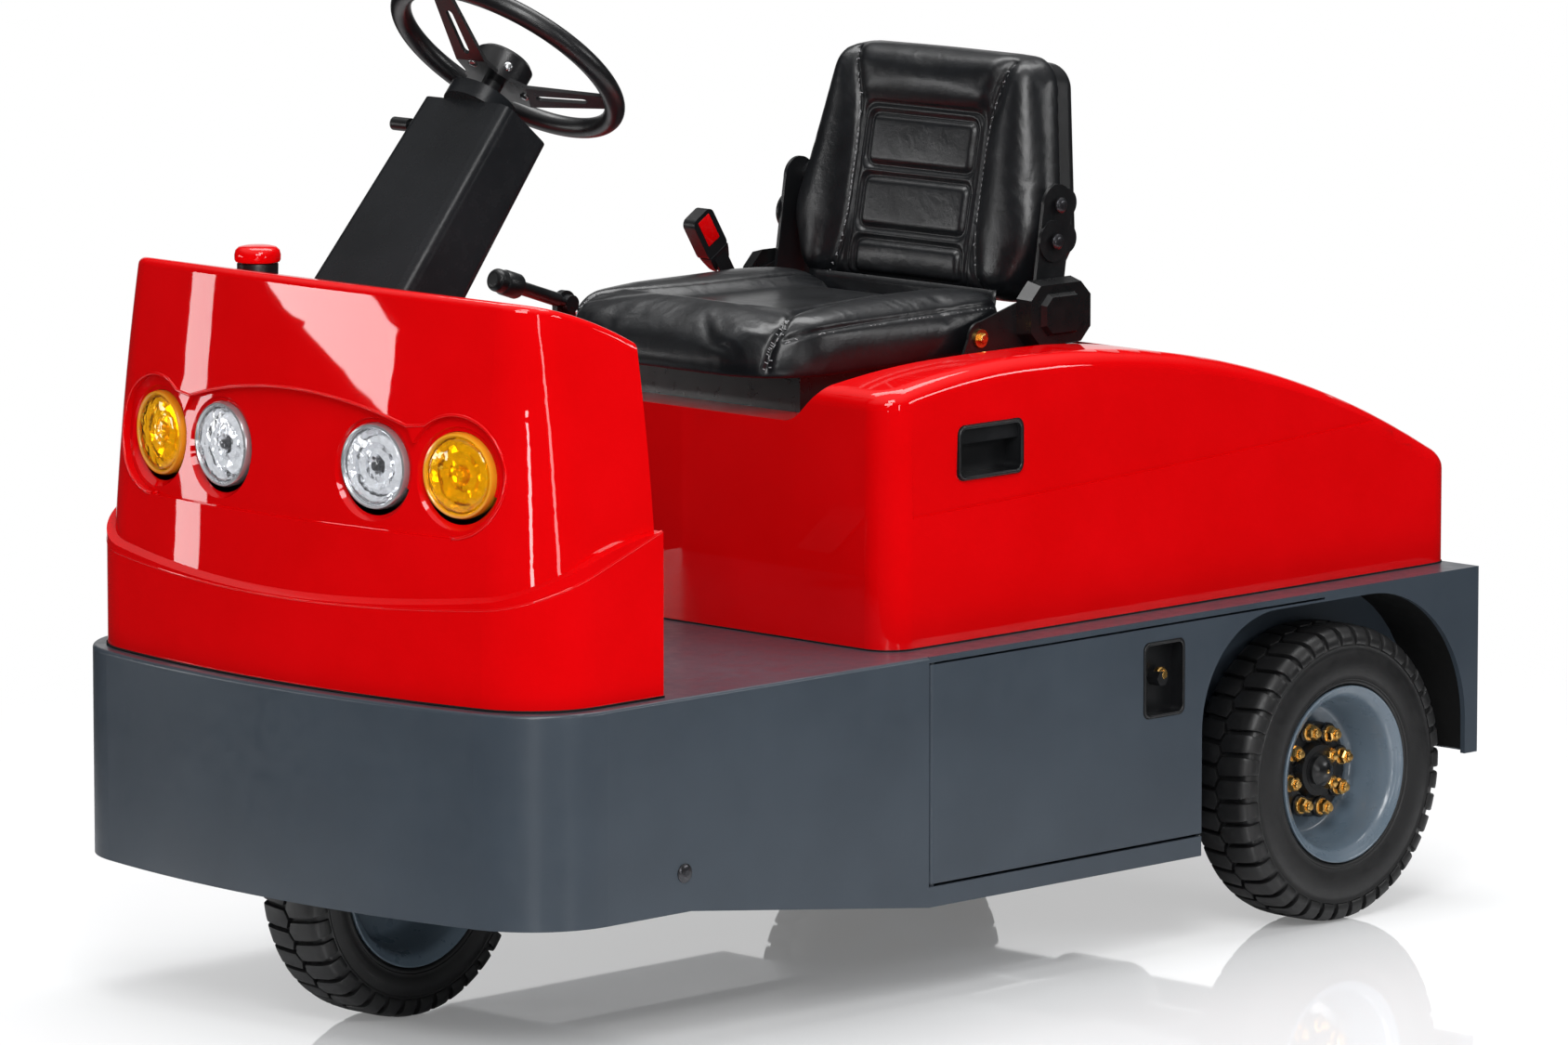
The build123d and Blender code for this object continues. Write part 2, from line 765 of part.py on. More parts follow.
with BuildPart() as cowl:
    with BuildSketch(Plane.XY.offset(frame_top)):
        add(nose_plan(cowl_band, cowl_rear_x))
    extrude(amount=crease_rear + cut_over)
    with BuildSketch(Plane.XZ):
        with BuildLine():
            ThreePointArc(
                (nose_x, frame_top + crease_front),
                (nose_x - cowl_depth / 3, frame_top + crease_middle),
                (cowl_rear_x, frame_top + crease_rear),
            )
            Polyline(
                (cowl_rear_x, frame_top + crease_rear),
                (cowl_rear_x, frame_top),
                (nose_x, frame_top),
                (nose_x, frame_top + crease_front),
            )
        make_face()
    extrude(amount=half_width, both=True, mode=Mode.INTERSECT)
    add(cowl_core(cowl_upper, 0, cowl_top_round))
    add(cowl_void, mode=Mode.SUBTRACT)
    add(recess_back)
    add(recess_cut, mode=Mode.SUBTRACT)
    # Round wells of the lamps, with a sloping mouth in front of each hole
    for name, y, height, splay in lamp_rows:
        origin, forward = lamp_place(y, height, splay)
        with BuildSketch(Plane(origin + forward * (2 * lamp_sink), z_dir=forward)):
            Circle(lamp_outer + 2 * lamp_mouth)
        extrude(amount=-3 * lamp_sink, taper=45 / 1.25, mode=Mode.SUBTRACT)
        with BuildSketch(Plane(origin, z_dir=forward)):
            Circle(lamp_outer + seat_gap)
        extrude(amount=lamp_bowl, both=True, mode=Mode.SUBTRACT)

# Lamps: cup, bezel and domed lens turned about the way each one looks
lamps = {}
for name, y, height, splay in lamp_rows:
    origin, forward = lamp_place(y, height, splay)
    origin = origin - forward * lamp_sink
    section = Plane(origin, x_dir=forward.cross(Vector(0, 0, 1)), z_dir=(0, 0, 1))
    with BuildPart() as lamp:
        with BuildSketch(section):
            with BuildLine():
                Polyline(
                    (0, lamp_proud + lamp_dome),
                    (0, -lamp_bowl),
                    (lamp_radius / 2, -lamp_bowl),
                    (lamp_outer, -lamp_bowl / 3),
                    (lamp_outer, lamp_proud),
                )
                ThreePointArc(
                    (lamp_outer, lamp_proud),
                    (lamp_outer - lamp_lip / 2, lamp_proud + lamp_lip / 2),
                    (lamp_outer - lamp_lip, lamp_proud),
                )
                ThreePointArc(
                    (lamp_outer - lamp_lip, lamp_proud),
                    (lamp_radius / 2, lamp_proud + dome_mid),
                    (0, lamp_proud + lamp_dome),
                )
            make_face()
        revolve(axis=Axis(origin, forward))
    lamps[name] = lamp

# Dash panel that closes the back of the cowl
dash_thickness = 4
with BuildPart() as dash_panel:
    with BuildSketch(Plane.YZ.offset(cowl_rear_x)):
        with Locations((0, frame_top + cowl_rear_height / 2)):
            Rectangle(2 * half_width, cowl_rear_height)
    extrude(amount=dash_thickness)
    add(cowl_core(cowl_upper + cowl_wall + seat_gap, cowl_wall + seat_gap, 0), mode=Mode.INTERSECT)

# Steering column on the leaning axis through the wheel's centre
lean = radians(column_lean)
wheel_centre = Vector(nose_x - wheel_from_nose, 0, wheel_height)
axis_up = Vector(-sin(lean), 0, cos(lean))
column_plane = Plane(wheel_centre, x_dir=(0, 1, 0), z_dir=axis_up)
column_top = column_plane.offset(-column_top_drop)
column_foot = column_plane.offset(-column_top_drop - column_length)


def column_form(wall):
    """Tapering column between its foot inside the cowl and its top."""
    with BuildPart() as form:
        for plane, width, depth in (
            (column_foot, column_base_width, column_base_depth),
            (column_top.offset(-wall), column_top_width, column_top_depth),
        ):
            with BuildSketch(plane):
                with Locations((0, column_back)):
                    RectangleRounded(width - 2 * wall, depth - 2 * wall, column_corner - wall)
        loft()
    return form.part


with BuildPart() as column:
    add(column_form(0))
    add(column_form(column_wall), mode=Mode.SUBTRACT)
    with BuildSketch(column_top):
        Circle(collar_radius)
    extrude(amount=collar_height)
    with BuildSketch(column_top.offset(-column_wall)):
        Circle(shaft_radius + fit)
    extrude(amount=collar_height + column_wall, mode=Mode.SUBTRACT)
    with BuildSketch(Plane.XZ):
        add(cowl_side(-seat_gap, frame_top - column_length))
    extrude(amount=half_width, both=True, mode=Mode.SUBTRACT)

# Spokes of the steering wheel: bent strips, cut to a taper with a slot in each
with BuildPart() as spokes:
    for turn in (spoke_turn, spoke_turn + 120, spoke_turn + 240):
        out = column_plane.x_dir * cos(radians(turn)) + column_plane.y_dir * sin(radians(turn))
        with BuildSketch(Plane(wheel_centre, x_dir=out, z_dir=out.cross(axis_up))):
            with BuildLine():
                Polyline(
                    (0, -spoke_sink),
                    (steer_rim_radius / 3, -spoke_sink),
                    (steer_rim_radius, -spoke_thickness),
                    (steer_rim_radius, 0),
                    (steer_rim_radius / 3, spoke_thickness - spoke_sink),
                    (0, spoke_thickness - spoke_sink),
                    close=True,
                )
            make_face()
        extrude(amount=spoke_root / 2, both=True)
    with BuildSketch(column_plane.offset(-2 * spoke_sink)):
        with PolarLocations(steer_rim_radius / 2, 3, start_angle=spoke_turn):
            Trapezoid(spoke_root, steer_rim_radius, spoke_flank, rotation=-90)
        with PolarLocations(steer_rim_radius * slot_share, 3, start_angle=spoke_turn):
            SlotOverall(spoke_slot_length, spoke_slot_width, mode=Mode.SUBTRACT)
    extrude(amount=3 * spoke_sink, mode=Mode.INTERSECT)

# Steering wheel: rim, hub and shaft
with BuildPart() as steering_wheel:
    with BuildSketch(column_plane.offset(-spoke_sink)):
        Circle(steer_hub_radius)
    extrude(amount=steer_hub_height)
    chamfer(steering_wheel.faces().sort_by(Axis(wheel_centre, axis_up))[-1].edges(), spoke_thickness)
    with BuildSketch(Plane((wheel_centre), x_dir=(0, 1, 0), z_dir=(cos(lean), 0, sin(lean)))):
        with Locations((steer_rim_radius, 0)):
            Circle(steer_tube)
    revolve(axis=Axis(wheel_centre, axis_up))
    with BuildSketch(column_plane.offset(-spoke_sink)):
        Circle(shaft_radius)
    extrude(amount=-(column_top_drop - spoke_sink) - collar_height)
    add(spokes.part)

# Hood: shell with a seat well, seat and rear hinge
def hood_form(wall):
    """Outer form of the hood, set in by a wall."""
    base = frame_top + seat_gap
    front = hood_front_x - wall
    back = hood_rear_x + wall
    half = hood_half - wall
    with BuildPart() as form:
        with BuildSketch(Plane.XZ):
            with BuildLine():
                Polyline(
                    (back, frame_top + hood_rear_rise - wall),
                    (back, base),
                    (front, base),
                    (front, frame_top + hood_front_rise - wall),
                )
                ThreePointArc(
                    (front, frame_top + hood_front_rise - wall),
                    (hood_front_x - hood_crest_back / 2, frame_top + hood_crest_rise - wall - spoke_thickness),
                    (hood_front_x - hood_crest_back, frame_top + hood_crest_rise - wall),
                )
                ThreePointArc(
                    (hood_front_x - hood_crest_back, frame_top + hood_crest_rise - wall),
                    (hood_front_x - hood_mid_back, frame_top + hood_mid_rise - wall),
                    (back, frame_top + hood_rear_rise - wall),
                )
            make_face()
        extrude(amount=half, both=True)
        fillet(form.edges().filter_by(Axis.Z), hood_corner - wall)
        # Rounded shoulders all round the top, except at the crest line across it
        crest_x = hood_front_x - hood_crest_back
        brim = form.edges().filter_by(Axis.Z, reverse=True)
        brim = brim.filter_by(lambda edge: edge.center().Z > base + hood_rear_rise / 2)
        brim = brim.filter_by(lambda edge: abs(edge.center().X - crest_x) > wall + crease_depth)
        fillet(brim, hood_round - wall)
        # Well for the seat, with S-shaped flanks
        with BuildSketch(Plane.YZ.offset(hood_front_x - well_length + wall)):
            with BuildLine():
                foot = well_half + wall
                brow = well_half + well_slope + wall
                lip = well_half + well_slope + well_lip + wall
                low = frame_top + well_rise - wall
                mid = frame_top + well_rise + well_slope_rise - wall
                high = frame_top + well_rise + well_slope_rise + well_lip_rise - wall
                roof = frame_top + hood_crest_rise + well_slope
                Polyline(
                    (-foot, low),
                    (foot, low),
                    (brow, mid),
                    (lip, high),
                    (lip, roof),
                    (-lip, roof),
                    (-lip, high),
                    (-brow, mid),
                    close=True,
                )
            flank = make_face().vertices().group_by(Axis.Y)
            fillet(flank[0] + flank[1], well_round)
        extrude(amount=well_length + cut_over, mode=Mode.SUBTRACT)
    return form.part


handle_width = 126
handle_height = 74
handle_back = 193
handle_rise = 251
handle_corner = 12
handle_depth = 30
handle_wall = 2.5
handle_lip = 6
grip_height = 20
handle_x = hood_front_x - handle_back
handle_z = frame_top + handle_rise

lever_y = 330
lever_back = 130
lever_rise = 385
lever_length = 120
lever_tilt = 18
lever_radius = 6
knob_radius = 16
bracket_length = 34
bracket_width = 10
lever_pin = 5
lever_x = hood_front_x - lever_back
lever_z = frame_top + lever_rise

with BuildPart() as hood:
    add(hood_form(0))
    # Long crease along each flank, under a shallow hollow
    for side in (1, -1):
        with BuildLine(Plane.XZ.offset(-side * hood_half)) as run:
            ThreePointArc(
                (hood_front_x - hood_corner, frame_top + crease_low),
                (
                    (hood_front_x + hood_rear_x - hood_corner) / 2,
                    frame_top + (crease_low + crease_end) / 2 - crease_bow,
                ),
                (hood_rear_x, frame_top + crease_end),
            )
        with BuildSketch(Plane(run.line @ 0, x_dir=(0, side, 0), z_dir=run.line % 0)):
            with BuildLine():
                Polyline((0, 0), (-crease_depth, 0), (0, -side * crease_height), close=True)
            make_face()
        sweep(path=run.line, mode=Mode.SUBTRACT)
    # Bracket and pin of the park brake lever
    with BuildSketch(Plane.XZ.offset(lever_y + lever_radius + seat_gap)):
        with Locations((lever_x, lever_z)):
            Circle(bracket_length / 2)
            Rectangle(bracket_length, lever_rise - hood_front_rise, align=(Align.CENTER, Align.MAX))
    extrude(amount=bracket_width)
    with BuildSketch(Plane.XZ.offset(lever_y + lever_radius + seat_gap)):
        with Locations((lever_x, lever_z)):
            Circle(lever_pin)
    extrude(amount=-2 * lever_radius)
    add(hood_form(hood_wall), mode=Mode.SUBTRACT)
    with BuildSketch(Plane.XZ.offset(-hood_half)):
        with Locations((handle_x, handle_z)):
            RectangleRounded(handle_width, handle_height, handle_corner)
    extrude(amount=2 * hood_half, mode=Mode.SUBTRACT)
    for y in (hinge_y, -hinge_y):
        for end in (1, -1):
            with BuildSketch(Plane.XZ.offset(-y + end * (hinge_half - hinge_knuckle / 2))):
                with Locations((hinge_x, hinge_z)):
                    Circle(hood_hinge_radius)
                with Locations((hood_rear_x, hinge_z + hood_hinge_radius)):
                    Rectangle(2 * hood_hinge_radius, 2 * hood_hinge_radius, align=(Align.MAX, Align.CENTER))
            extrude(amount=hinge_knuckle / 2, both=True)

with BuildPart() as hood_bored:
    add(hood.part)
    with BuildSketch(Plane.XZ):
        with Locations((hinge_x, hinge_z)):
            Circle(hinge_pin + fit)
    extrude(amount=hood_half, both=True, mode=Mode.SUBTRACT)
hood = hood_bored

with BuildPart() as handle_left:
    with BuildSketch(Plane.XZ.offset(-hood_half)):
        with Locations((handle_x, handle_z)):
            RectangleRounded(handle_width, handle_height, handle_corner)
    extrude(amount=handle_depth)
    with BuildSketch(Plane.XZ.offset(-hood_half)):
        with Locations((handle_x, handle_z)):
            RectangleRounded(handle_width - 2 * handle_lip, handle_height - 2 * handle_lip, handle_corner - handle_lip / 2)
    extrude(amount=handle_depth - handle_wall, mode=Mode.SUBTRACT)
    with BuildSketch(Plane.XZ.offset(-hood_half + handle_lip)):
        with Locations((handle_x, handle_z + handle_height / 2 - handle_lip)):
            Rectangle(handle_width - handle_lip, grip_height, align=(Align.CENTER, Align.MAX))
    extrude(amount=handle_lip)

with BuildPart() as handle_right:
    add(mirror(handle_left.part, about=Plane.XZ, mode=Mode.PRIVATE))

# Seat: pan with side plates and recliner covers, cushion and backrest
well_floor = frame_top + well_rise
pan_top = well_floor + seat_base_height
pivot_back = 465
pivot_rise = 395
pivot_x = hood_front_x - pivot_back
pivot_z = frame_top + pivot_rise
recline_pin = 8
side_plate_y = 246
side_plate = 4
shell_inset = 3
cover_length = 128
cover_height = 92
cover_thickness = 22
cover_corner = 22
cover_draft = 14
cover_tier = 8
cover_tier_share = 0.62
cross_bar = 90
cross_thickness = 14
buffer_radius = 14
buffer_height = 9
buffer_y = 56
buffer_back = 86
plate_radius = 34
plate_nose = 22
plate_nose_back = 330
plate_nose_rise = 372

with BuildPart() as seat_base:
    with BuildSketch(Plane.XY.offset(well_floor)):
        with Locations((hood_front_x - seat_pan_front - seat_pan_length / 2, 0)):
            Rectangle(seat_pan_length, 2 * seat_pan_half)
    extrude(amount=seat_base_height)
    with BuildSketch(Plane.XY.offset(pan_top)):
        with Locations((hood_front_x - seat_pan_front - seat_pan_length, 0)):
            Rectangle(2 * cross_bar, 2 * (side_plate_y + side_plate))
    extrude(amount=-cross_thickness)
    # Side plate from a round nose back to the recliner's pivot
    nose_at = (hood_front_x - plate_nose_back, frame_top + plate_nose_rise)
    with BuildSketch(Plane.XZ.offset(-side_plate_y - side_plate)):
        with BuildLine():
            Polyline(
                (nose_at[0], nose_at[1] + plate_nose),
                (pivot_x, pivot_z + plate_radius),
                (pivot_x - plate_radius, pivot_z),
                (pivot_x - plate_radius, pan_top - cross_thickness),
                (nose_at[0] + 2 * plate_nose, pan_top - cross_thickness),
                (nose_at[0] + plate_nose, nose_at[1]),
                close=True,
            )
        make_face()
        with Locations(nose_at):
            Circle(plate_nose)
        with Locations((pivot_x, pivot_z)):
            Circle(plate_radius)
    extrude(amount=side_plate)
    # Moulded cover over the recliner, in two drafted tiers
    with BuildSketch(Plane.XZ.offset(-side_plate_y - side_plate)):
        with Locations((pivot_x, pivot_z)):
            cover = Rectangle(cover_length, cover_height)
        chamfer(cover.vertices(), cover_corner)
    extrude(amount=-cover_thickness, taper=cover_draft)
    with BuildSketch(Plane.XZ.offset(-side_plate_y - side_plate - cover_thickness + seat_gap)):
        with Locations((pivot_x, pivot_z)):
            tier = Rectangle(cover_length * cover_tier_share, cover_height * cover_tier_share)
        chamfer(tier.vertices(), cover_corner * cover_tier_share)
    extrude(amount=-cover_tier, taper=2 * cover_draft)
    with BuildSketch(Plane.XZ.offset(-side_plate_y)):
        with Locations((pivot_x, pivot_z)):
            Circle(recline_pin)
    extrude(amount=plate)
    mirror(about=Plane.XZ)
    for y in (buffer_y, -buffer_y):
        with BuildSketch(Plane.XY.offset(well_floor)):
            with Locations((hood_front_x - buffer_back, y)):
                Circle(buffer_radius)
        extrude(amount=buffer_height)

cushion_front_x = hood_front_x + cushion_overhang
with BuildPart() as seat_cushion:
    with BuildSketch(Plane.XY.offset(pan_top + seat_gap)):
        with Locations((cushion_front_x - cushion_length / 2, 0)):
            RectangleRounded(cushion_length, 2 * cushion_half, cushion_corner)
    extrude(amount=cushion_height)
    fillet(seat_cushion.faces().sort_by(Axis.Z)[-1].edges(), cushion_round)

back_turn = radians(back_lean)
back_plane = Plane(
    (hood_front_x - back_from_front, 0, frame_top + back_low),
    x_dir=(0, 1, 0),
    z_dir=(cos(back_turn), 0, sin(back_turn)),
)


def back_outline(inset):
    """Front outline of the backrest, widest at its belly."""
    with BuildSketch() as outline:
        with BuildLine():
            Polyline(
                (-back_bottom_half + inset, inset),
                (back_bottom_half - inset, inset),
                (back_half - inset, back_belly),
                (back_top_half - inset, back_height - inset),
                (-back_top_half + inset, back_height - inset),
                (-back_half + inset, back_belly),
                close=True,
            )
        make_face()
        fillet(outline.vertices(), back_corner)
    return outline.sketch


with BuildPart() as back_cushion:
    with BuildSketch(back_plane):
        add(back_outline(0))
    extrude(amount=-back_thickness)
    front_face = back_cushion.faces().sort_by(Axis(back_plane.origin, back_plane.z_dir))[-1]
    fillet(front_face.edges(), back_round)

recline_plate = 5
recline_width = 56
recline_gap = 0.5
bolt_low = 95
bolt_high = 143
bolt_back = 22
shell_plane = back_plane.offset(-back_thickness - seat_gap)
plate_y = side_plate_y - recline_gap
with BuildPart() as back_shell:
    with BuildSketch(shell_plane):
        add(back_outline(shell_inset))
    extrude(amount=-back_shell_thickness)
    rear_face = back_shell.faces().sort_by(Axis(back_plane.origin, back_plane.z_dir))[0]
    fillet(rear_face.edges(), back_shell_thickness / 2)
    with BuildSketch(Plane.XZ.offset(-plate_y)):
        with BuildLine():
            Polyline(
                (pivot_x + recline_width / 2, pivot_z),
                (pivot_x + recline_width / 2 - bolt_back, pivot_z + bolt_high),
                (pivot_x - recline_width / 2 - bolt_back, pivot_z + bolt_high),
                (pivot_x - recline_width / 2, pivot_z),
                close=True,
            )
        make_face()
        with Locations((pivot_x, pivot_z), (pivot_x - bolt_back, pivot_z + bolt_high)):
            Circle(recline_width / 2)
        with Locations((pivot_x, pivot_z)):
            Circle(recline_pin + fit, mode=Mode.SUBTRACT)
    extrude(amount=recline_plate)
    with BuildSketch(Plane.XZ.offset(-plate_y)):
        with Locations((pivot_x - bolt_back / 2, pivot_z + bolt_low)):
            Circle(recline_width / 2)
    extrude(amount=-side_plate)
    with BuildSketch(Plane.XZ.offset(-plate_y + recline_plate)):
        with Locations((pivot_x - 2 * bolt_back, pivot_z + bolt_low)):
            Circle(back_shell_thickness / 2)
        with Locations((pivot_x - 2 * bolt_back, pivot_z + bolt_high)):
            Circle(back_shell_thickness / 2)
    extrude(amount=plate_y - recline_plate - back_top_half)
    mirror(about=Plane.XZ)
    add(back_cushion.part, mode=Mode.SUBTRACT)

buckle_back = 372
buckle_width = 42
buckle_length = 66
buckle_thickness = 26
buckle_lean = 32
buckle_rise = 390
strap_width = 24
strap_thickness = 4
strap_length = 62
strap_y = side_plate_y + side_plate
with BuildPart() as buckle:
    tilt = radians(buckle_lean)
    anchor = Plane(
        (hood_front_x - buckle_back, -strap_y, frame_top + buckle_rise),
        x_dir=(cos(tilt), 0, -sin(tilt)),
        z_dir=(0, -1, 0),
    )
    with BuildSketch(anchor):
        Circle(strap_width / 2)
        with Locations((0, strap_length / 2)):
            Rectangle(strap_width, strap_length)
    extrude(amount=strap_thickness)
    with BuildSketch(anchor):
        with Locations((0, strap_length + buckle_length / 2)):
            RectangleRounded(buckle_width, buckle_length, buckle_width / 4)
    extrude(amount=buckle_thickness)
    chamfer(buckle.faces().sort_by(Axis.Y)[0].edges(), strap_thickness)

# Park brake lever on its bracket, on the right shoulder of the hood
lever_out = Vector(cos(radians(lever_tilt)), 0, sin(radians(lever_tilt)))
lever_origin = Vector(lever_x, -lever_y, lever_z)
with BuildPart() as park_lever:
    with BuildSketch(Plane(lever_origin + lever_out * lever_length, z_dir=lever_out)):
        Circle(knob_radius)
    extrude(amount=2 * knob_radius)
    fillet(park_lever.edges().filter_by(GeomType.CIRCLE), knob_radius / 2)
    with BuildSketch(Plane(lever_origin, z_dir=lever_out)):
        Circle(lever_radius)
    extrude(amount=lever_length + knob_radius)
    with BuildSketch(Plane.XZ.offset(lever_y - lever_radius)):
        with Locations((lever_x, lever_z)):
            Circle(2 * lever_radius)
    extrude(amount=2 * lever_radius)
    with BuildSketch(Plane.XZ.offset(lever_y - 2 * lever_radius)):
        with Locations((lever_x, lever_z)):
            Circle(lever_pin + fit)
    extrude(amount=4 * lever_radius, mode=Mode.SUBTRACT)

# Stop button on the right shoulder of the cowl
stop_back = 188
stop_y = 215
stop_base = 20
stop_base_height = 12
stop_cap = 25
stop_cap_height = 18
stop_x = nose_x - stop_back
stop_low = frame_top + min(cowl_middle_height, cowl_rear_height) - stop_base_height
stop_top = frame_top + max(cowl_middle_height, cowl_rear_height) + stop_base_height
with BuildPart() as stop_button:
    with BuildSketch(Plane.XY.offset(stop_low)):
        with Locations((stop_x, -stop_y)):
            Circle(stop_base)
    extrude(amount=stop_top - stop_low)
    with BuildSketch(Plane.XY.offset(stop_top)):
        with Locations((stop_x, -stop_y)):
            Circle(stop_cap)
    extrude(amount=stop_cap_height)
    fillet(stop_button.faces().sort_by(Axis.Z)[-1].edges(), stop_cap_height / 2)
    with BuildSketch(Plane.XZ):
        add(cowl_side(-seat_gap, frame_top))
    extrude(amount=half_width, both=True, mode=Mode.SUBTRACT)

# Direction lever beside the top of the column, and the two pedals
stalk_drop = 118
stalk_radius = 5
stalk_length = 62
stalk_grip = 9
stalk_share = 0.45
with BuildPart() as direction_lever:
    with BuildSketch(Plane((0, -column_top_width * stalk_share, 0), x_dir=(1, 0, 0), z_dir=(0, -1, 0))):
        with Locations((wheel_centre.X + stalk_drop * sin(lean), wheel_centre.Z - stalk_drop * cos(lean))):
            Circle(stalk_radius)
    extrude(amount=stalk_length)
    with BuildSketch(Plane((0, -column_top_width * stalk_share - stalk_length, 0), x_dir=(1, 0, 0), z_dir=(0, -1, 0))):
        with Locations((wheel_centre.X + stalk_drop * sin(lean), wheel_centre.Z - stalk_drop * cos(lean))):
            Circle(stalk_grip)
    extrude(amount=-stalk_length / 2)
    add(column_form(0), mode=Mode.SUBTRACT)

pedal_width = 70
pedal_height = 90
pedal_plate = 6
pedal_lean = 35
pedal_reach = 70
pedal_rise = 70
pedal_arm = 16
pedals = {}
for name, y in (("brake_pedal", pedal_width), ("throttle_pedal", -pedal_width)):
    pad_plane = Plane(
        (cowl_rear_x - pedal_reach, y, frame_top + pedal_rise),
        x_dir=(0, 1, 0),
        z_dir=(-sin(radians(pedal_lean)), 0, cos(radians(pedal_lean))),
    )
    with BuildPart() as pedal:
        with BuildSketch(pad_plane):
            RectangleRounded(pedal_width, pedal_height, pedal_arm / 2)
        extrude(amount=pedal_plate)
        with BuildSketch(Plane.XZ.offset(-y)):
            with BuildLine():
                Polyline(
                    (cowl_rear_x, frame_top + pedal_rise + pedal_arm),
                    (cowl_rear_x, frame_top + pedal_rise + 2 * pedal_arm),
                    (cowl_rear_x - pedal_reach, frame_top + pedal_rise + pedal_plate / 2),
                    (cowl_rear_x - pedal_reach, frame_top + pedal_rise - pedal_arm),
                    close=True,
                )
            make_face()
        extrude(amount=pedal_arm / 2, both=True)
    pedals[name] = pedal

# Tow coupling: a comb of tongues on the rear plate with a drop-in pin
coupling_width = 96
coupling_base = 14
coupling_low = 212
coupling_slot = 40
coupling_tongue = 14
coupling_slots = 2
pin_back = 52
tow_pin_radius = 12.5
tow_pin_clear = 0.5
tow_pin_tail = 12
tow_pin_neck = 22
tow_pin_grip = 18
tow_pin_bar = 6
tow_pin_grip_length = 84
coupling_top = coupling_low + coupling_slots * (coupling_slot + coupling_tongue) + coupling_tongue
with BuildPart() as tow_coupling:
    with BuildSketch(Plane.XZ):
        with Locations((rear_x, (coupling_low + coupling_top) / 2)):
            Rectangle(coupling_base, coupling_top - coupling_low, align=(Align.MAX, Align.CENTER))
        for step in range(coupling_slots + 1):
            with Locations((rear_x, coupling_low + step * (coupling_slot + coupling_tongue))):
                Rectangle(coupling_reach, coupling_tongue, align=(Align.MAX, Align.MIN))
    extrude(amount=coupling_width / 2, both=True)
    fillet(tow_coupling.edges().filter_by(Axis.Z).group_by(Axis.X)[0], coupling_width / 4)
    with BuildSketch(Plane.XY.offset(coupling_low)):
        with Locations((rear_x - pin_back, 0)):
            Circle(tow_pin_radius + tow_pin_clear)
    extrude(amount=coupling_top - coupling_low, mode=Mode.SUBTRACT)

with BuildPart() as coupling_pin:
    with BuildSketch(Plane.XY.offset(coupling_low - tow_pin_tail)):
        with Locations((rear_x - pin_back, 0)):
            Circle(tow_pin_radius)
    extrude(amount=coupling_top - coupling_low + tow_pin_tail + tow_pin_neck)
    with BuildSketch(Plane.XY.offset(coupling_top)):
        with Locations((rear_x - pin_back, 0)):
            Circle(tow_pin_grip)
    extrude(amount=coupling_base / 2)
    with BuildSketch(Plane.XZ):
        with Locations((rear_x - pin_back, coupling_top + tow_pin_neck)):
            Circle(tow_pin_bar)
    extrude(amount=tow_pin_grip_length / 2, both=True)
    chamfer(coupling_pin.faces().sort_by(Axis.Z)[0].edges(), coupling_base / 4)

# Round lamps on the rear plate
tail_y = 370
tail_height = 385
tail_radius = 36
tail_depth = 20
tails = {}
for name, y in (("tail_lamp_left", tail_y), ("tail_lamp_right", -tail_y)):
    with BuildPart() as tail:
        with BuildSketch(Plane.YZ.offset(rear_x)):
            with Locations((y, tail_height)):
                Circle(tail_radius)
        extrude(amount=-tail_depth)
        fillet(tail.faces().sort_by(Axis.X)[0].edges(), tail_depth / 3)
    tails[name] = tail

for name, piece in {
    "front_frame": front_frame,
    "main_frame": main_frame,
    "side_frame_left": side_frame_left,
    "side_frame_right": side_frame_right,
    "door_left": door_left,
    "door_right": door_right,
    "latch_left": latch_left,
    "latch_right": latch_right,
    **rear_wheel,
    **front_wheel,
    "steer_fork": steer_fork,
    "drive_axle": drive_axle,
    "battery": battery,
    "cowl": cowl,
    **lamps,
    "dash_panel": dash_panel,
    "stop_button": stop_button,
    "column": column,
    "direction_lever": direction_lever,
    "steering_wheel": steering_wheel,
    **pedals,
    "hood": hood,
    "handle_left": handle_left,
    "handle_right": handle_right,
    "seat_base": seat_base,
    "seat_cushion": seat_cushion,
    "back_cushion": back_cushion,
    "back_shell": back_shell,
    "buckle": buckle,
    "park_lever": park_lever,
    "tow_coupling": tow_coupling,
    "coupling_pin": coupling_pin,
    **tails,
}.items():
    piece.part.label = name
    export_step(piece.part, f"parts/{name}.step")
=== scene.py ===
"""Looks of the electric tow tractor: finishes, tyres, seat covers, lamps and studio."""

import json
import math
import random

import bmesh
import bpy
from mathutils import Matrix, Vector
from mathutils.bvhtree import BVHTree
from mathutils.kdtree import KDTree


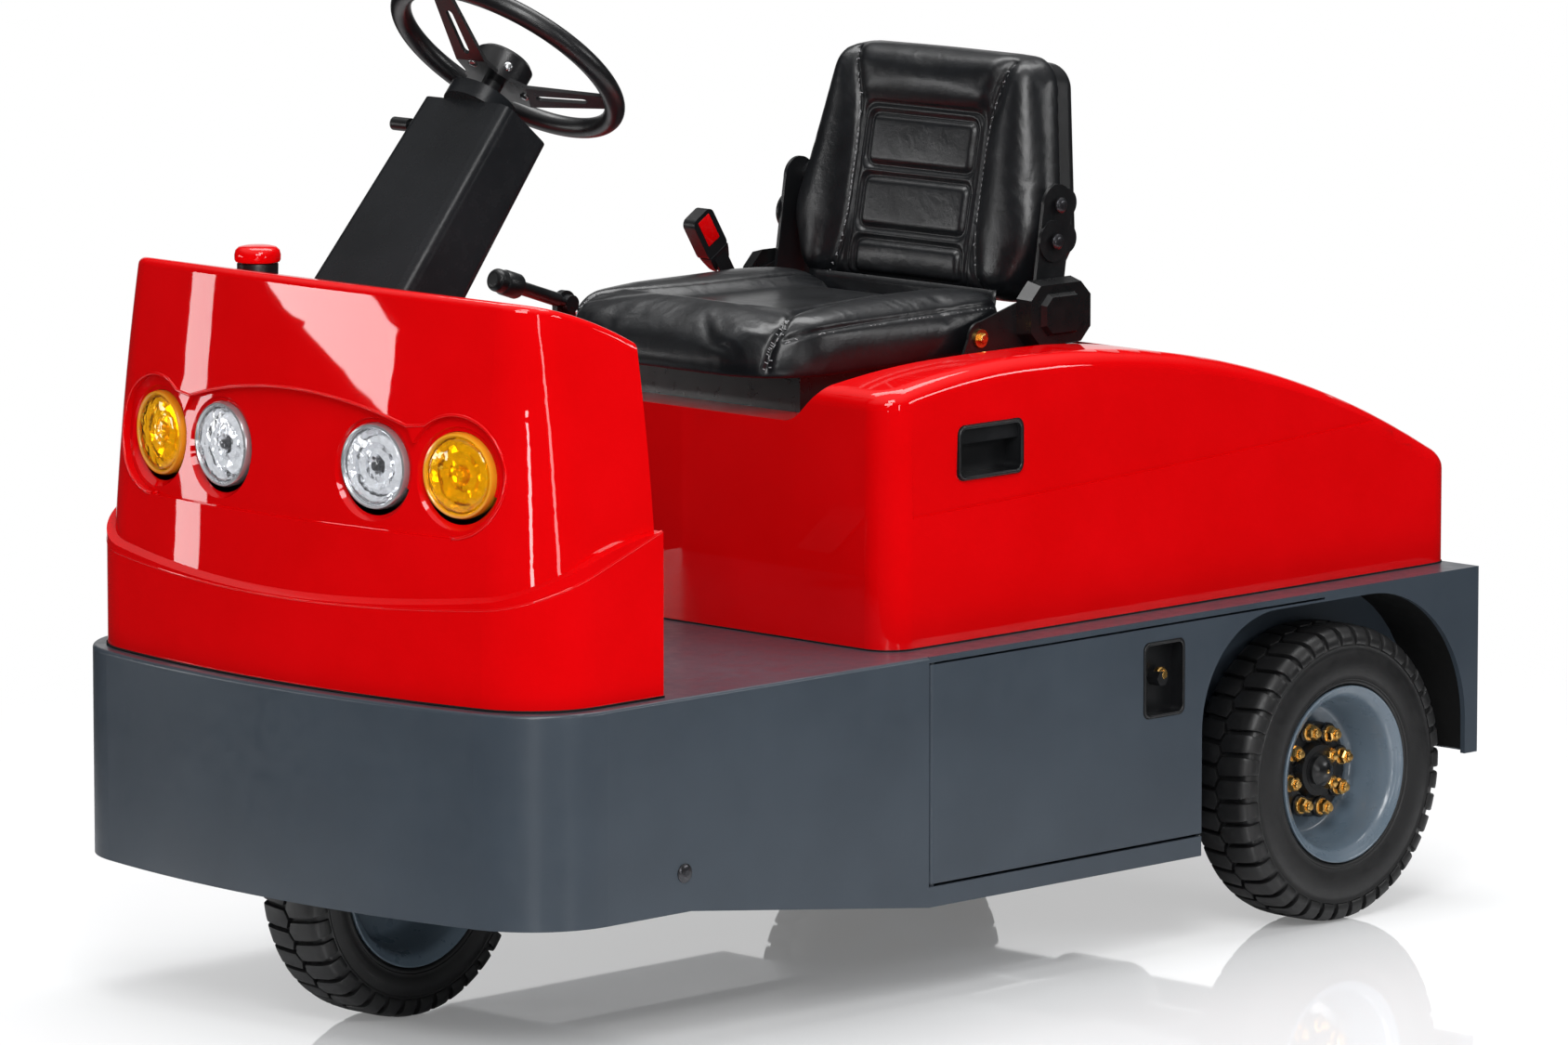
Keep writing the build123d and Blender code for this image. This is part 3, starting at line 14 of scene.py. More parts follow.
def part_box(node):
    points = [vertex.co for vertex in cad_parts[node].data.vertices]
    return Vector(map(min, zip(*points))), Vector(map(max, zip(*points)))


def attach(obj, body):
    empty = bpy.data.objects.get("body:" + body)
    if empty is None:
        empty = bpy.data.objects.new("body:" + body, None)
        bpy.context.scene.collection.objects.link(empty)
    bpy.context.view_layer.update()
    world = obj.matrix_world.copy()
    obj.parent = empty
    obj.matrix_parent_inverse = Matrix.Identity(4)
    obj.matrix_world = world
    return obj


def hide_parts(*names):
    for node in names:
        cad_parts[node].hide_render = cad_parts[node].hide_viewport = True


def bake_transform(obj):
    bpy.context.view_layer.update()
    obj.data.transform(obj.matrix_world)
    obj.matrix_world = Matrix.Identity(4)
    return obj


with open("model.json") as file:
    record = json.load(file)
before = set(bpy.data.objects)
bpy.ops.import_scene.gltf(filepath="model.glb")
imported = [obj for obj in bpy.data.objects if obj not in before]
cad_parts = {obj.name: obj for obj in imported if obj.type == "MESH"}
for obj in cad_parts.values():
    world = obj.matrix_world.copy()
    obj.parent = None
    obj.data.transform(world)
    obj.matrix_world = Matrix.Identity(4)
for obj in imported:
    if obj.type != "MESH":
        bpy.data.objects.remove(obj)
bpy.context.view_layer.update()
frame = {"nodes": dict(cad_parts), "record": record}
nodes = frame["nodes"]
chance = random.Random(7)


# Sizes that the solids have, in metres

nose_x = 0.970
nose_radius = 1.733
nose_corner = 0.135
nose_centre_x = nose_x - nose_radius
half_width = 0.455
frame_top = 0.460
wheel_face = 0.470
front_tyre_face = 0.056
rear_axle = (-0.597, 0.205)
front_axle = (0.751, 0.190)
lamp_height = 0.752
white_lamp_y = half_width * 0.3165
amber_lamp_y = half_width * 0.62
screw_x, screw_z = 0.665, 0.233
sides = ((1, "left"), (-1, "right"))


# Materials

def add_node(tree, kind, links=None, values=None, **settings):
    """New node with its settings, the sockets that feed it and the values of its own sockets."""
    node = tree.nodes.new("ShaderNode" + kind)
    for name, value in settings.items():
        setattr(node, name, value)
    for socket, value in (values or {}).items():
        node.inputs[socket].default_value = value
    for socket, source in (links or {}).items():
        tree.links.new(source, node.inputs[socket])
    return node


def finish_surface(tree, surface, links, values):
    """Sockets that feed a surface, and the values of its own sockets."""
    for socket, source in links.items():
        tree.links.new(source, surface.inputs[socket])
    for socket, value in values.items():
        surface.inputs[socket].default_value = value


def new_material(name):
    """Node material with a plain Principled surface, and its tree and surface."""
    material = bpy.data.materials.new(name)
    material.use_nodes = True
    tree = material.node_tree
    tree.nodes.clear()
    surface = add_node(tree, "BsdfPrincipled")
    add_node(tree, "OutputMaterial", {"Surface": surface.outputs[0]})
    return material, tree, surface


def object_coords(tree):
    return add_node(tree, "TexCoord").outputs["Object"]


def noise(tree, scale, detail=4.0, roughness=0.55):
    node = add_node(tree, "TexNoise", {"Vector": object_coords(tree)},
                    {"Scale": scale, "Detail": detail, "Roughness": roughness})
    return node.outputs["Fac"]


def ramp(tree, source, *stops):
    """Colours or grey levels by place, spread over a source."""
    node = add_node(tree, "ValToRGB", {"Fac": source})
    for element, (place, colour) in zip(node.color_ramp.elements, stops):
        element.position = place
        element.color = (*colour, 1.0) if isinstance(colour, tuple) else (colour, colour, colour, 1.0)
    return node.outputs["Color"]


def bump(tree, source, strength, distance, below=None):
    links = {"Height": source}
    if below:
        links["Normal"] = below
    return add_node(tree, "Bump", links, {"Strength": strength, "Distance": distance}).outputs["Normal"]


def coated(name, dark, light, roughness, coat=0.0, coat_roughness=0.03, metallic=0.0, specular=0.5,
           grain=900.0, grain_depth=0.00008, grain_strength=0.3, patch=7.0, spread=0.06):
    """Paint, plastic or metal with slow colour drift, uneven gloss and a fine grain."""
    material, tree, surface = new_material(name)
    low, high = max(roughness - spread, 0.02), min(roughness + spread, 1.0)
    finish_surface(tree, surface, {
        "Base Color": ramp(tree, noise(tree, patch, 5.0), (0.3, dark), (0.7, light)),
        "Roughness": ramp(tree, noise(tree, patch * 6, 6.0), (0.3, low), (0.7, high)),
        "Normal": bump(tree, noise(tree, grain, 3.0), grain_strength, grain_depth),
    }, {
        "Metallic": metallic,
        "Specular IOR Level": specular,
        "Coat Weight": coat,
        "Coat Roughness": coat_roughness,
    })
    return material


def leather(name):
    """Black upholstery leather with pebbled grain, creases and uneven sheen."""
    material, tree, surface = new_material(name)
    coords = object_coords(tree)
    pebble = add_node(tree, "TexVoronoi", {"Vector": coords}, {"Scale": 420.0}, feature="SMOOTH_F1")
    crease = noise(tree, 24.0, 8.0, 0.6)
    wrinkle = add_node(tree, "TexWave", {"Vector": object_coords(tree)},
                       {"Scale": 9.0, "Distortion": 14.0, "Detail": 4.0, "Detail Scale": 2.0})
    grain = bump(tree, pebble.outputs["Distance"], 0.2, 0.0004)
    fold = bump(tree, crease, 0.16, 0.004, grain)
    finish_surface(tree, surface, {
        "Base Color": ramp(tree, crease, (0.3, (0.0032, 0.0036, 0.0044)), (0.75, (0.0075, 0.0085, 0.0102))),
        "Roughness": ramp(tree, noise(tree, 11.0, 6.0), (0.3, 0.29), (0.75, 0.42)),
        "Normal": bump(tree, wrinkle.outputs["Fac"], 0.07, 0.003, fold),
    }, {
        "Specular IOR Level": 0.42,
        "Coat Weight": 0.1,
        "Coat Roughness": 0.22,
    })
    return material


def lens(name, tint, roughness):
    """Clear or tinted lamp glass with faint flutes."""
    material, tree, surface = new_material(name)
    cells = add_node(tree, "TexVoronoi", {"Vector": object_coords(tree)}, {"Scale": 95.0}).outputs["Distance"]
    finish_surface(tree, surface, {
        "Base Color": ramp(tree, cells, (0.0, tint), (0.7, tuple(c * 0.85 for c in tint))),
        "Normal": bump(tree, cells, 0.35, 0.0016),
    }, {
        "Roughness": roughness,
        "Transmission Weight": 1.0,
        "IOR": 1.45,
    })
    return material


red = coated("red_gloss", (0.66, 0.0006, 0.0016), (0.72, 0.0010, 0.0026), 0.32, coat=0.8, coat_roughness=0.02,
             specular=0.0, grain=260.0, grain_depth=0.00004, grain_strength=0.1, spread=0.04)
slate = coated("slate_satin", (0.038, 0.050, 0.065), (0.046, 0.060, 0.077), 0.34, coat=0.16,
               coat_roughness=0.18,
               specular=0.36, grain=1500.0, grain_depth=0.0001, grain_strength=0.25)
rim_paint = coated("rim_paint", (0.09, 0.125, 0.16), (0.125, 0.165, 0.205), 0.3, coat=0.4,
                   coat_roughness=0.12)
black_paint = coated("black_paint", (0.0035, 0.0038, 0.0042), (0.007, 0.0075, 0.0082), 0.3, coat=0.2,
                     coat_roughness=0.2, specular=0.4)
black_plastic = coated("black_plastic", (0.0045, 0.0048, 0.0055), (0.0085, 0.009, 0.0102), 0.36, specular=0.4,
                       grain=2200.0, grain_depth=0.0002, grain_strength=0.3)
rim_rubber = coated("steering_rubber", (0.0045, 0.0045, 0.0052), (0.008, 0.008, 0.0092), 0.32, specular=0.5,
                    grain=1600.0, grain_depth=0.0002, grain_strength=0.25)
rubber = coated("tyre_rubber", (0.0055, 0.0055, 0.006), (0.0115, 0.0115, 0.0118), 0.44, specular=0.5,
                grain=420.0, grain_depth=0.0004, grain_strength=0.35, patch=14.0)
column_plastic = coated("column_plastic", (0.008, 0.0088, 0.010), (0.0125, 0.0137, 0.0155), 0.26,
                        specular=0.2,
                        grain=1400.0, grain_depth=0.00025, grain_strength=0.35)
bezel_ring = coated("bezel_ring", (0.50, 0.51, 0.53), (0.62, 0.63, 0.65), 0.22, metallic=0.7, coat=0.5)
amber_ring = coated("amber_ring", (0.75, 0.28, 0.01), (0.85, 0.36, 0.02), 0.2, coat=0.7)
# Black rubber of the body seals; the same black is laid inside the wheel arches as painted shade
seal_black_and_painted_shade = coated("seal_black_and_painted_shade", (0.004, 0.004, 0.004), (0.007, 0.007, 0.007), 0.7, specular=0.2)
brass = coated("brass", (0.62, 0.36, 0.10), (0.80, 0.50, 0.17), 0.24, metallic=1.0, grain=700.0, spread=0.08)
steel = coated("steel", (0.42, 0.43, 0.44), (0.56, 0.57, 0.58), 0.3, metallic=1.0, grain=900.0, spread=0.08)
dark_steel = coated("dark_steel", (0.05, 0.05, 0.055), (0.10, 0.10, 0.11), 0.3, metallic=0.8, spread=0.08)
thread = coated("thread", (0.22, 0.22, 0.23), (0.36, 0.36, 0.37), 0.6, grain=3000.0)
chrome = coated("reflector", (0.80, 0.81, 0.83), (0.92, 0.93, 0.94), 0.08, metallic=1.0, spread=0.03,
                grain=300.0, grain_depth=0.0003)
amber_chrome = coated("amber_reflector", (0.85, 0.56, 0.02), (0.92, 0.70, 0.08), 0.12, metallic=1.0,
                      spread=0.03,
                      grain=300.0, grain_depth=0.0003)
hide = leather("leather")
clear_lens = lens("clear_lens", (0.97, 0.98, 1.0), 0.02)
amber_lens = lens("amber_lens", (1.0, 0.76, 0.08), 0.03)
red_lens = coated("red_lens", (0.30, 0.004, 0.004), (0.42, 0.008, 0.008), 0.18, coat=1.0, coat_roughness=0.03)

slot_material = {
    "frame_grey": slate,
    "body_red": red,
    "tyre": rubber,
    "rim": rim_paint,
    "black_metal": black_paint,
    "black_plastic": black_plastic,
    "steering_rim": rim_rubber,
    "lamp_clear": clear_lens,
    "lamp_amber": amber_lens,
    "lamp_red": red_lens,
    "stop_red": red,
    "seat_leather": hide,
    "pin_steel": steel,
}
slots = {part["node"]: part["material_slot"] for part in frame["record"]["subparts"]}
for node_name, slot_name in slots.items():
    node = nodes[node_name]
    node.data.materials.clear()
    node.data.materials.append(column_plastic if node_name == "column" else slot_material[slot_name])


# Mesh helpers

def place_object(name, data):
    obj = bpy.data.objects.new(name, data)
    bpy.context.scene.collection.objects.link(obj)
    return obj


def bevel_edges(shape, width, angle):
    """Rounded edges wherever two faces meet at more than an angle."""
    edges = [e for e in shape.edges if len(e.link_faces) == 2 and e.calc_face_angle() > math.radians(angle)]
    bmesh.ops.bevel(shape, geom=edges, offset=width, segments=2, profile=0.6, affect="EDGES",
                    clamp_overlap=True)


def outward_mesh(name, verts, faces, bevel=None):
    """Mesh from vertices and faces with its faces turned outwards and optional bevelled edges."""
    mesh = bpy.data.meshes.new(name)
    mesh.from_pydata([tuple(v) for v in verts], [], faces)
    shape = bmesh.new()
    shape.from_mesh(mesh)
    bmesh.ops.recalc_face_normals(shape, faces=shape.faces)
    if bevel:
        bevel_edges(shape, bevel, 28)
    shape.to_mesh(mesh)
    shape.free()
    return mesh


def piece(name, shape, material, body, replaced=(), sharp=30.0, bevel=None):
    """New piece from a shape, riding on a body."""
    mesh = outward_mesh(name, shape.verts, shape.faces, bevel)
    return place_piece(name, mesh, material, body, replaced, sharp)


def place_piece(name, mesh, material, body, replaced, sharp):
    mesh.materials.clear()
    mesh.materials.append(material)
    for polygon in mesh.polygons:
        polygon.use_smooth = True
    mesh.set_sharp_from_angle(angle=math.radians(sharp))
    obj = place_object(name, mesh)
    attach(obj, body)
    for node_name in replaced:
        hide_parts(node_name)
    return obj


class Shape:
    """Vertices and faces gathered from several simple forms."""

    def __init__(self):
        self.verts, self.faces = [], []

    def add(self, verts, faces):
        start = len(self.verts)
        self.verts.extend(Vector(v) for v in verts)
        self.faces.extend([tuple(i + start for i in f) for f in faces])

    def lathe(self, profile, origin, axis, segments=48, closed=False, turn=0.0):
        """Turned form: profile rows are (radius, place along the axis)."""
        axis = Vector(axis).normalized()
        side = axis.orthogonal().normalized()
        other = axis.cross(side)
        origin = Vector(origin)
        verts, faces = [], []
        for k in range(segments):
            angle = 2 * math.pi * k / segments + turn
            out = side * math.cos(angle) + other * math.sin(angle)
            verts.extend(origin + out * r + axis * a for r, a in profile)
        n = len(profile)
        spans = n if closed else n - 1
        for k in range(segments):
            here, there = k * n, ((k + 1) % segments) * n
            for i in range(spans):
                j = (i + 1) % n
                faces.append((here + i, there + i, there + j, here + j))
        if not closed:
            faces.append(tuple(k * n for k in range(segments))[::-1])
            faces.append(tuple(k * n + n - 1 for k in range(segments)))
        self.add(verts, faces)

    def tube(self, path, radius, closed=False, sides=8):
        """Round tube along a path of points."""
        points = [Vector(p) for p in path]
        count = len(points)
        verts, faces = [], []
        normal = None
        for i, p in enumerate(points):
            a = points[(i - 1) % count] if closed or i else p
            b = points[(i + 1) % count] if closed or i < count - 1 else p
            ahead = (b - a).normalized()
            if normal is None:
                normal = ahead.orthogonal().normalized()
            normal = (normal - ahead * normal.dot(ahead)).normalized()
            across = ahead.cross(normal)
            for s in range(sides):
                t = 2 * math.pi * s / sides
                verts.append(p + (normal * math.cos(t) + across * math.sin(t)) * radius)
        for i in range(count if closed else count - 1):
            here, there = i * sides, ((i + 1) % count) * sides
            for s in range(sides):
                t = (s + 1) % sides
                faces.append((here + s, here + t, there + t, there + s))
        if not closed:
            faces.append(tuple(range(sides))[::-1])
            faces.append(tuple(range((count - 1) * sides, count * sides)))
        self.add(verts, faces)


def arc(a, b, radius, start, end, steps):
    """Points on an arc from one angle to another, in degrees."""
    angles = [math.radians(start + (end - start) * k / steps) for k in range(steps + 1)]
    return [(a + radius * math.cos(t), b + radius * math.sin(t)) for t in angles]


def rounded_rect(width, height, radius, steps=6):
    """Outline of a rounded rectangle, as (x, y) points."""
    points = []
    for cx, cy, start in ((1, 1, 0), (-1, 1, 90), (-1, -1, 180), (1, -1, 270)):
        points += arc(cx * (width / 2 - radius), cy * (height / 2 - radius), radius, start, start + 90, steps)
    return points


def spaced(points, step):
    """Points about a step apart on the straight runs of a closed outline."""
    result = []
    for (a, b), (c, d) in zip(points, points[1:] + points[:1]):
        parts = max(1, round(math.hypot(c - a, d - b) / step))
        result.extend((a + (c - a) * k / parts, b + (d - b) * k / parts) for k in range(parts))
    return result


def between(rows, place):
    """Value at a place in a table of (place, value) rows."""
    for (a, p), (b, q) in zip(rows, rows[1:]):
        if place <= b:
            return p + (q - p) * max(0.0, (place - a) / (b - a))
    return rows[-1][1]


def evaluated(obj):
    """Mesh of an object with its modifiers applied."""
    graph = bpy.context.evaluated_depsgraph_get()
    return bpy.data.meshes.new_from_object(obj.evaluated_get(graph), depsgraph=graph)


# Tyres: turned carcass with rounded walls, and two staggered rows of bevelled blocks

rim_edge = 0.1223
tyre_width = 0.112
tread_width_share = 0.78


def carcass_profile(radius):
    """Rows of (distance from the outer face, radius) round the tyre's outside."""
    half = [(0.030, rim_edge - 0.010), (0.0123, rim_edge - 0.009), (0.0118, rim_edge),
            (0.0062, rim_edge + 0.0022), (0.0046, rim_edge + 0.0052), (0.0052, rim_edge + 0.0072),
            (0.0040, rim_edge + 0.0085)]
    low, high = rim_edge + 0.010, radius - 0.030
    for k in range(9):
        share = k / 8
        half.append((0.0042 - 0.0034 * math.sin(math.pi * share), low + (high - low) * share))
    half += [(0.0036, radius - 0.0290), (0.0036, radius - 0.0272), (0.0048, radius - 0.0262),
             (0.0062, radius - 0.0200), (0.0090, radius - 0.0140), (0.0140, radius - 0.0105),
             (0.0220, radius - 0.0092), (0.0400, radius - 0.0085), (0.0560, radius - 0.0083)]
    other = [(tyre_width - a, r) for a, r in reversed(half[:-1])]
    return half + other


def block_section(radius, t):
    """Section of a tread block and its shoulder lug at a share t of the block's half length."""
    tip = 0.0515 + 0.0055 * (1 - abs(t))
    rows = ((tip, 0.0002), (0.0340, 0.0003), (0.0200, 0.0012), (0.0130, 0.0030), (0.0070, 0.0075),
            (0.0030, 0.0150), (0.0020, 0.0210), (0.0034, 0.0262), (0.0080, 0.0240), (0.0110, 0.0150),
            (0.0240, 0.0110), (tip, 0.0105))
    return [(across, radius - low) for across, low in rows]


def tread_block(radius, side, half_span, mirrored):
    """One bevelled block over the axle, as its vertices and faces."""
    verts, faces = [], []
    rows = 4
    for k in range(rows + 1):
        t = 2 * k / rows - 1
        for a, r in block_section(radius, t):
            angle = half_span * t * (0.9 if a < 0.012 else 1.0) + 0.10 * (a - 0.03) / radius
            across = tyre_width - a if mirrored else a
            verts.append(Vector((r * math.sin(angle), -across * side, r * math.cos(angle))))
    n = len(verts) // (rows + 1)
    for k in range(rows):
        for i in range(n):
            j = (i + 1) % n
            faces.append((k * n + i, k * n + j, (k + 1) * n + j, (k + 1) * n + i))
    faces.append(tuple(range(n))[::-1])
    faces.append(tuple(range(rows * n, rows * n + n)))
    single = bmesh.new()
    made = [single.verts.new(v) for v in verts]
    for f in faces:
        single.faces.new([made[i] for i in f])
    bmesh.ops.recalc_face_normals(single, faces=single.faces)
    bevel_edges(single, 0.0011, 32)
    single.verts.index_update()
    points = [v.co.copy() for v in single.verts]
    polygons = [tuple(v.index for v in f.verts) for f in single.faces]
    single.free()
    return points, polygons


def tyre(name, axle, outer_y, side, body, node_name):
    """Turned carcass, and two rows of blocks set half a pitch apart."""
    radius = axle[1]
    base = Vector((axle[0], outer_y, axle[1]))
    shape = Shape()
    shape.lathe([(r, -a) for a, r in carcass_profile(radius)], base, (0, side, 0), 120, closed=True)
    piece(name, shape, rubber, body, (node_name,), 50.0)
    count = round(2 * math.pi * radius / 0.0322)
    pitch = 2 * math.pi / count
    tread = Shape()
    for mirrored in (False, True):
        points, polygons = tread_block(radius, side, pitch * tread_width_share / 2, mirrored)
        for c in range(count):
            spin = Matrix.Rotation(pitch * (c + (0.5 if mirrored else 0.0)), 3, "Y")
            tread.add([base + spin @ p for p in points], polygons)
    piece(name + "_tread", tread, rubber, body, ())


tyre("tyre_left", rear_axle, wheel_face, 1, "rear_wheel_left", "rear_tyre_left")
tyre("tyre_right", rear_axle, -wheel_face, -1, "rear_wheel_right", "rear_tyre_right")
tyre("tyre_front", front_axle, front_tyre_face, 1, "front_wheel", "front_tyre")


# Wheels: rolled rims, dark hubs with brass nuts

def knob_profile(rows):
    """Closed profile of a turned piece: from the axis over its rows and back to the axis."""
    return [(0.0001, rows[0][1])] + list(rows) + [(0.0001, rows[-1][1])]


def hub(name, base, out, body):
    """Dark hub disc with eight brass nuts on studs, two more by the cap, and its grease cap."""
    brass_parts, dark = Shape(), Shape()
    dark.lathe(knob_profile([(0.0640, -0.008), (0.0660, -0.006), (0.0660, 0.001), (0.0630, 0.003),
                             (0.0400, 0.003), (0.0350, 0.0145)]), base, out, 64)
    for k in range(8):
        angle = 2 * math.pi * (k + 0.30) / 8
        spot = base + Vector((math.sin(angle), 0, math.cos(angle))) * 0.0545
        dark.lathe(knob_profile([(0.0150, 0.0), (0.0150, 0.0055), (0.0135, 0.0070)]), spot, out, 24)
        brass_parts.lathe(knob_profile([(0.0118, 0.006), (0.0118, 0.0088), (0.0108, 0.0096)]), spot, out, 24)
        brass_parts.lathe(knob_profile([(0.0102, 0.009), (0.0104, 0.0182), (0.0088, 0.0204)]), spot, out, 6,
                          turn=angle)
        brass_parts.lathe([(0.0001, 0.019), (0.0060, 0.019), (0.0058, 0.0242), (0.0044, 0.0256),
                           (0.0001, 0.0258)], spot, out, 18)
    for angle in (5.4, 4.0):
        spot = base + Vector((math.sin(angle), 0, math.cos(angle))) * 0.0290
        brass_parts.lathe(knob_profile([(0.0098, 0.013), (0.0098, 0.0205), (0.0084, 0.0222)]), spot, out, 6,
                          turn=angle)
        brass_parts.lathe([(0.0001, 0.021), (0.0054, 0.021), (0.0052, 0.0252), (0.0001, 0.0262)], spot, out,
                          16)
    brass_parts.lathe([(0.0001, 0.026), (0.0035, 0.026), (0.0026, 0.0318), (0.0001, 0.0328)], base, out, 16)
    dark.lathe([(0.0001, 0.013), (0.0215, 0.013), (0.0215, 0.0205), (0.0150, 0.0262), (0.0070, 0.0300),
                (0.0001, 0.0306)], base, out, 40)
    piece(name + "_nuts", brass_parts, brass, body)
    piece(name + "_hub_trim", dark, black_paint, body, ())


def rim(name, axle, outer_y, side, body, node_name):
    profile = [(0.0142, 0.088), (0.0142, 0.080), (0.0860, 0.080), (0.0900, 0.0780), (0.0945, 0.0700),
               (0.1000, 0.0400), (0.1050, 0.0180), (0.1080, 0.0120), (0.1135, 0.0075), (0.1175, 0.0058),
               (0.1190, 0.0042), (0.1208, 0.0038), (0.1219, 0.0046), (0.1220, 0.0062), (0.1210, 0.0098),
               (0.1120, 0.0130), (0.1120, 0.0980), (0.1205, 0.1010), (0.1218, 0.1060), (0.1205, 0.1076),
               (0.1180, 0.1072), (0.1060, 0.0990), (0.1020, 0.0880)]
    shape = Shape()
    shape.lathe([(r, -a) for r, a in profile], (axle[0], outer_y, axle[1]), (0, side, 0), 96, closed=True)
    piece(name, shape, rim_paint, body, (node_name,), 40.0)


hub_depth = 0.065
for side, label in sides:
    body = "rear_wheel_" + label
    rim("rim_" + label, rear_axle, side * wheel_face, side, body, "rear_rim_" + label)
    hub_base = Vector((rear_axle[0], side * wheel_face - side * hub_depth, rear_axle[1]))
    hub("rim_" + label, hub_base, Vector((0, side, 0)), body)
rim("rim_front", front_axle, front_tyre_face, 1, "front_wheel", "front_rim")


# Lamps: faceted reflector bowl, bulb boss, clear dome and bezel

def lamp_frame(y, splay):
    """Centre and direction of a lamp on the cowl, as in the model."""
    inset = 0.025 + 0.015 * 292 / 290
    front_x = nose_centre_x + math.sqrt((nose_radius - inset) ** 2 - y * y) - 0.009
    turn = math.radians(splay if y > 0 else -splay)
    ahead = Vector((math.cos(turn), math.sin(turn), 0.0))
    return Vector((front_x, y, lamp_height)) - ahead * 0.008, ahead


def lamp_bowl(origin, ahead, side, up):
    """Facetted reflector: rings of points joined by triangles, each point a little off."""
    rows = ((0.007, -0.006), (0.014, -0.001), (0.022, -0.004), (0.031, -0.0005), (0.040, -0.003),
            (0.0485, 0.003))
    sectors = 20
    verts, faces = [], []
    for i, (r, a) in enumerate(rows):
        for k in range(sectors):
            angle = 2 * math.pi * (k + 0.5 * (i % 2)) / sectors
            lift = a + chance.uniform(-0.0012, 0.0012)
            verts.append(origin + (side * math.cos(angle) + up * math.sin(angle)) * r + ahead * lift)
    for i in range(len(rows) - 1):
        for k in range(sectors):
            here, there = i * sectors, (i + 1) * sectors
            k2 = (k + 1) % sectors
            if i % 2:
                faces += [(here + k, here + k2, there + k2), (here + k, there + k2, there + k)]
            else:
                faces += [(here + k, here + k2, there + k), (here + k2, there + k2, there + k)]
    faces.append(tuple(range(sectors))[::-1])
    bowl = Shape()
    bowl.add(verts, faces)
    return bowl


def lamp(name, y, splay, glass, bezel, mirror, bulb):
    origin, ahead = lamp_frame(y, splay)
    side = ahead.cross(Vector((0, 0, 1))).normalized()
    up = side.cross(ahead)
    bowl = lamp_bowl(origin, ahead, side, up)
    case = Shape()
    case.lathe([(0.0001, -0.030), (0.0240, -0.033), (0.0550, -0.011), (0.0558, 0.0040), (0.0540, 0.0085),
                (0.0515, 0.0095), (0.0495, 0.0075), (0.0488, 0.0035), (0.0486, -0.010), (0.0001, -0.012)],
               origin, ahead, 64)
    piece(name + "_case", case, bezel, "chassis", (), 40.0)
    piece(name + "_bowl", bowl, mirror, "chassis", (), 5.0)
    boss = Shape()
    boss.lathe([(0.0001, -0.010), (0.0075, -0.010), (0.0075, 0.000), (0.0060, 0.0035), (0.0030, 0.0050),
                (0.0001, 0.0054)], origin, ahead, 20)
    piece(name + "_bulb", boss, bulb, "chassis", sharp=40.0)
    reach, seat, rise, steps = 0.0492, 0.0045, 0.0105, 12
    angles = [math.pi / 2 * k / steps for k in range(steps)]
    outer = [(reach * math.sin(t), seat + rise * (math.cos(t) ** 0.8)) for t in angles] + [(reach, seat)]
    inner = [(r * 0.955, a - 0.0022) for r, a in reversed(outer)]
    outer[0], inner[-1] = (0.0001, outer[0][1]), (0.0001, inner[-1][1])
    dome = Shape()
    dome.lathe(outer + inner, origin, ahead, 64)
    piece(name + "_glass", dome, glass, "chassis", (name,), 60.0)


for side, label in sides:
    lamp("lamp_white_" + label, side * white_lamp_y, 5.0, clear_lens, bezel_ring, chrome, dark_steel)
for side, label in sides:
    lamp("lamp_amber_" + label, side * amber_lamp_y, 10.0, amber_lens, amber_ring, amber_chrome, amber_chrome)


# Upholstery: closed pads, inflated as cloth, then sewn

def slab(outline, centre, front, back, to_world, rings=26, side_rows=5):
    """Closed pad: rings from a centre to its outline, a side wall and a flat back."""
    count = len(outline)
    verts, faces = [], []

    def gap(a, b):
        return min(math.hypot(a - p, b - q) for p, q in outline)

    for sheet in (0, 1):
        verts.append(to_world(centre[0], centre[1], front(centre[0], centre[1], 1.0) if sheet == 0 else back))
        for ring in range(1, rings + 1):
            m = 1 - (1 - ring / rings) ** 1.25 if sheet == 0 else ring / rings
            for p, q in outline:
                a, b = centre[0] + (p - centre[0]) * m, centre[1] + (q - centre[1]) * m
                if sheet == 0:
                    verts.append(to_world(a, b, front(a, b, 0.0 if ring == rings else gap(a, b))))
                else:
                    verts.append(to_world(a, b, back))
    block = 1 + rings * count
    for sheet in (0, 1):
        base = sheet * block
        for k in range(count):
            k2 = (k + 1) % count
            face = (base, base + 1 + k, base + 1 + k2)
            faces.append(face if sheet == 0 else face[::-1])
            for ring in range(rings - 1):
                a, b = base + 1 + ring * count, base + 1 + (ring + 1) * count
                face = (a + k, b + k, b + k2, a + k2)
                faces.append(face if sheet == 0 else face[::-1])
    top_ring, low_ring = 1 + (rings - 1) * count, block + 1 + (rings - 1) * count
    previous = [top_ring + k for k in range(count)]
    for row in range(1, side_rows):
        share = row / side_rows
        bulge = 0.004 * math.sin(math.pi * share)
        current = []
        for k, (p, q) in enumerate(outline):
            away = math.hypot(p - centre[0], q - centre[1])
            a = p + (p - centre[0]) / away * bulge
            b = q + (q - centre[1]) / away * bulge
            high, low = front(p, q, 0.0), back
            current.append(len(verts))
            verts.append(to_world(a, b, high + (low - high) * share))
        for k in range(count):
            k2 = (k + 1) % count
            faces.append((previous[k], current[k], current[k2], previous[k2]))
        previous = current
    for k in range(count):
        k2 = (k + 1) % count
        faces.append((previous[k], low_ring + k, low_ring + k2, previous[k2]))
    return verts, faces


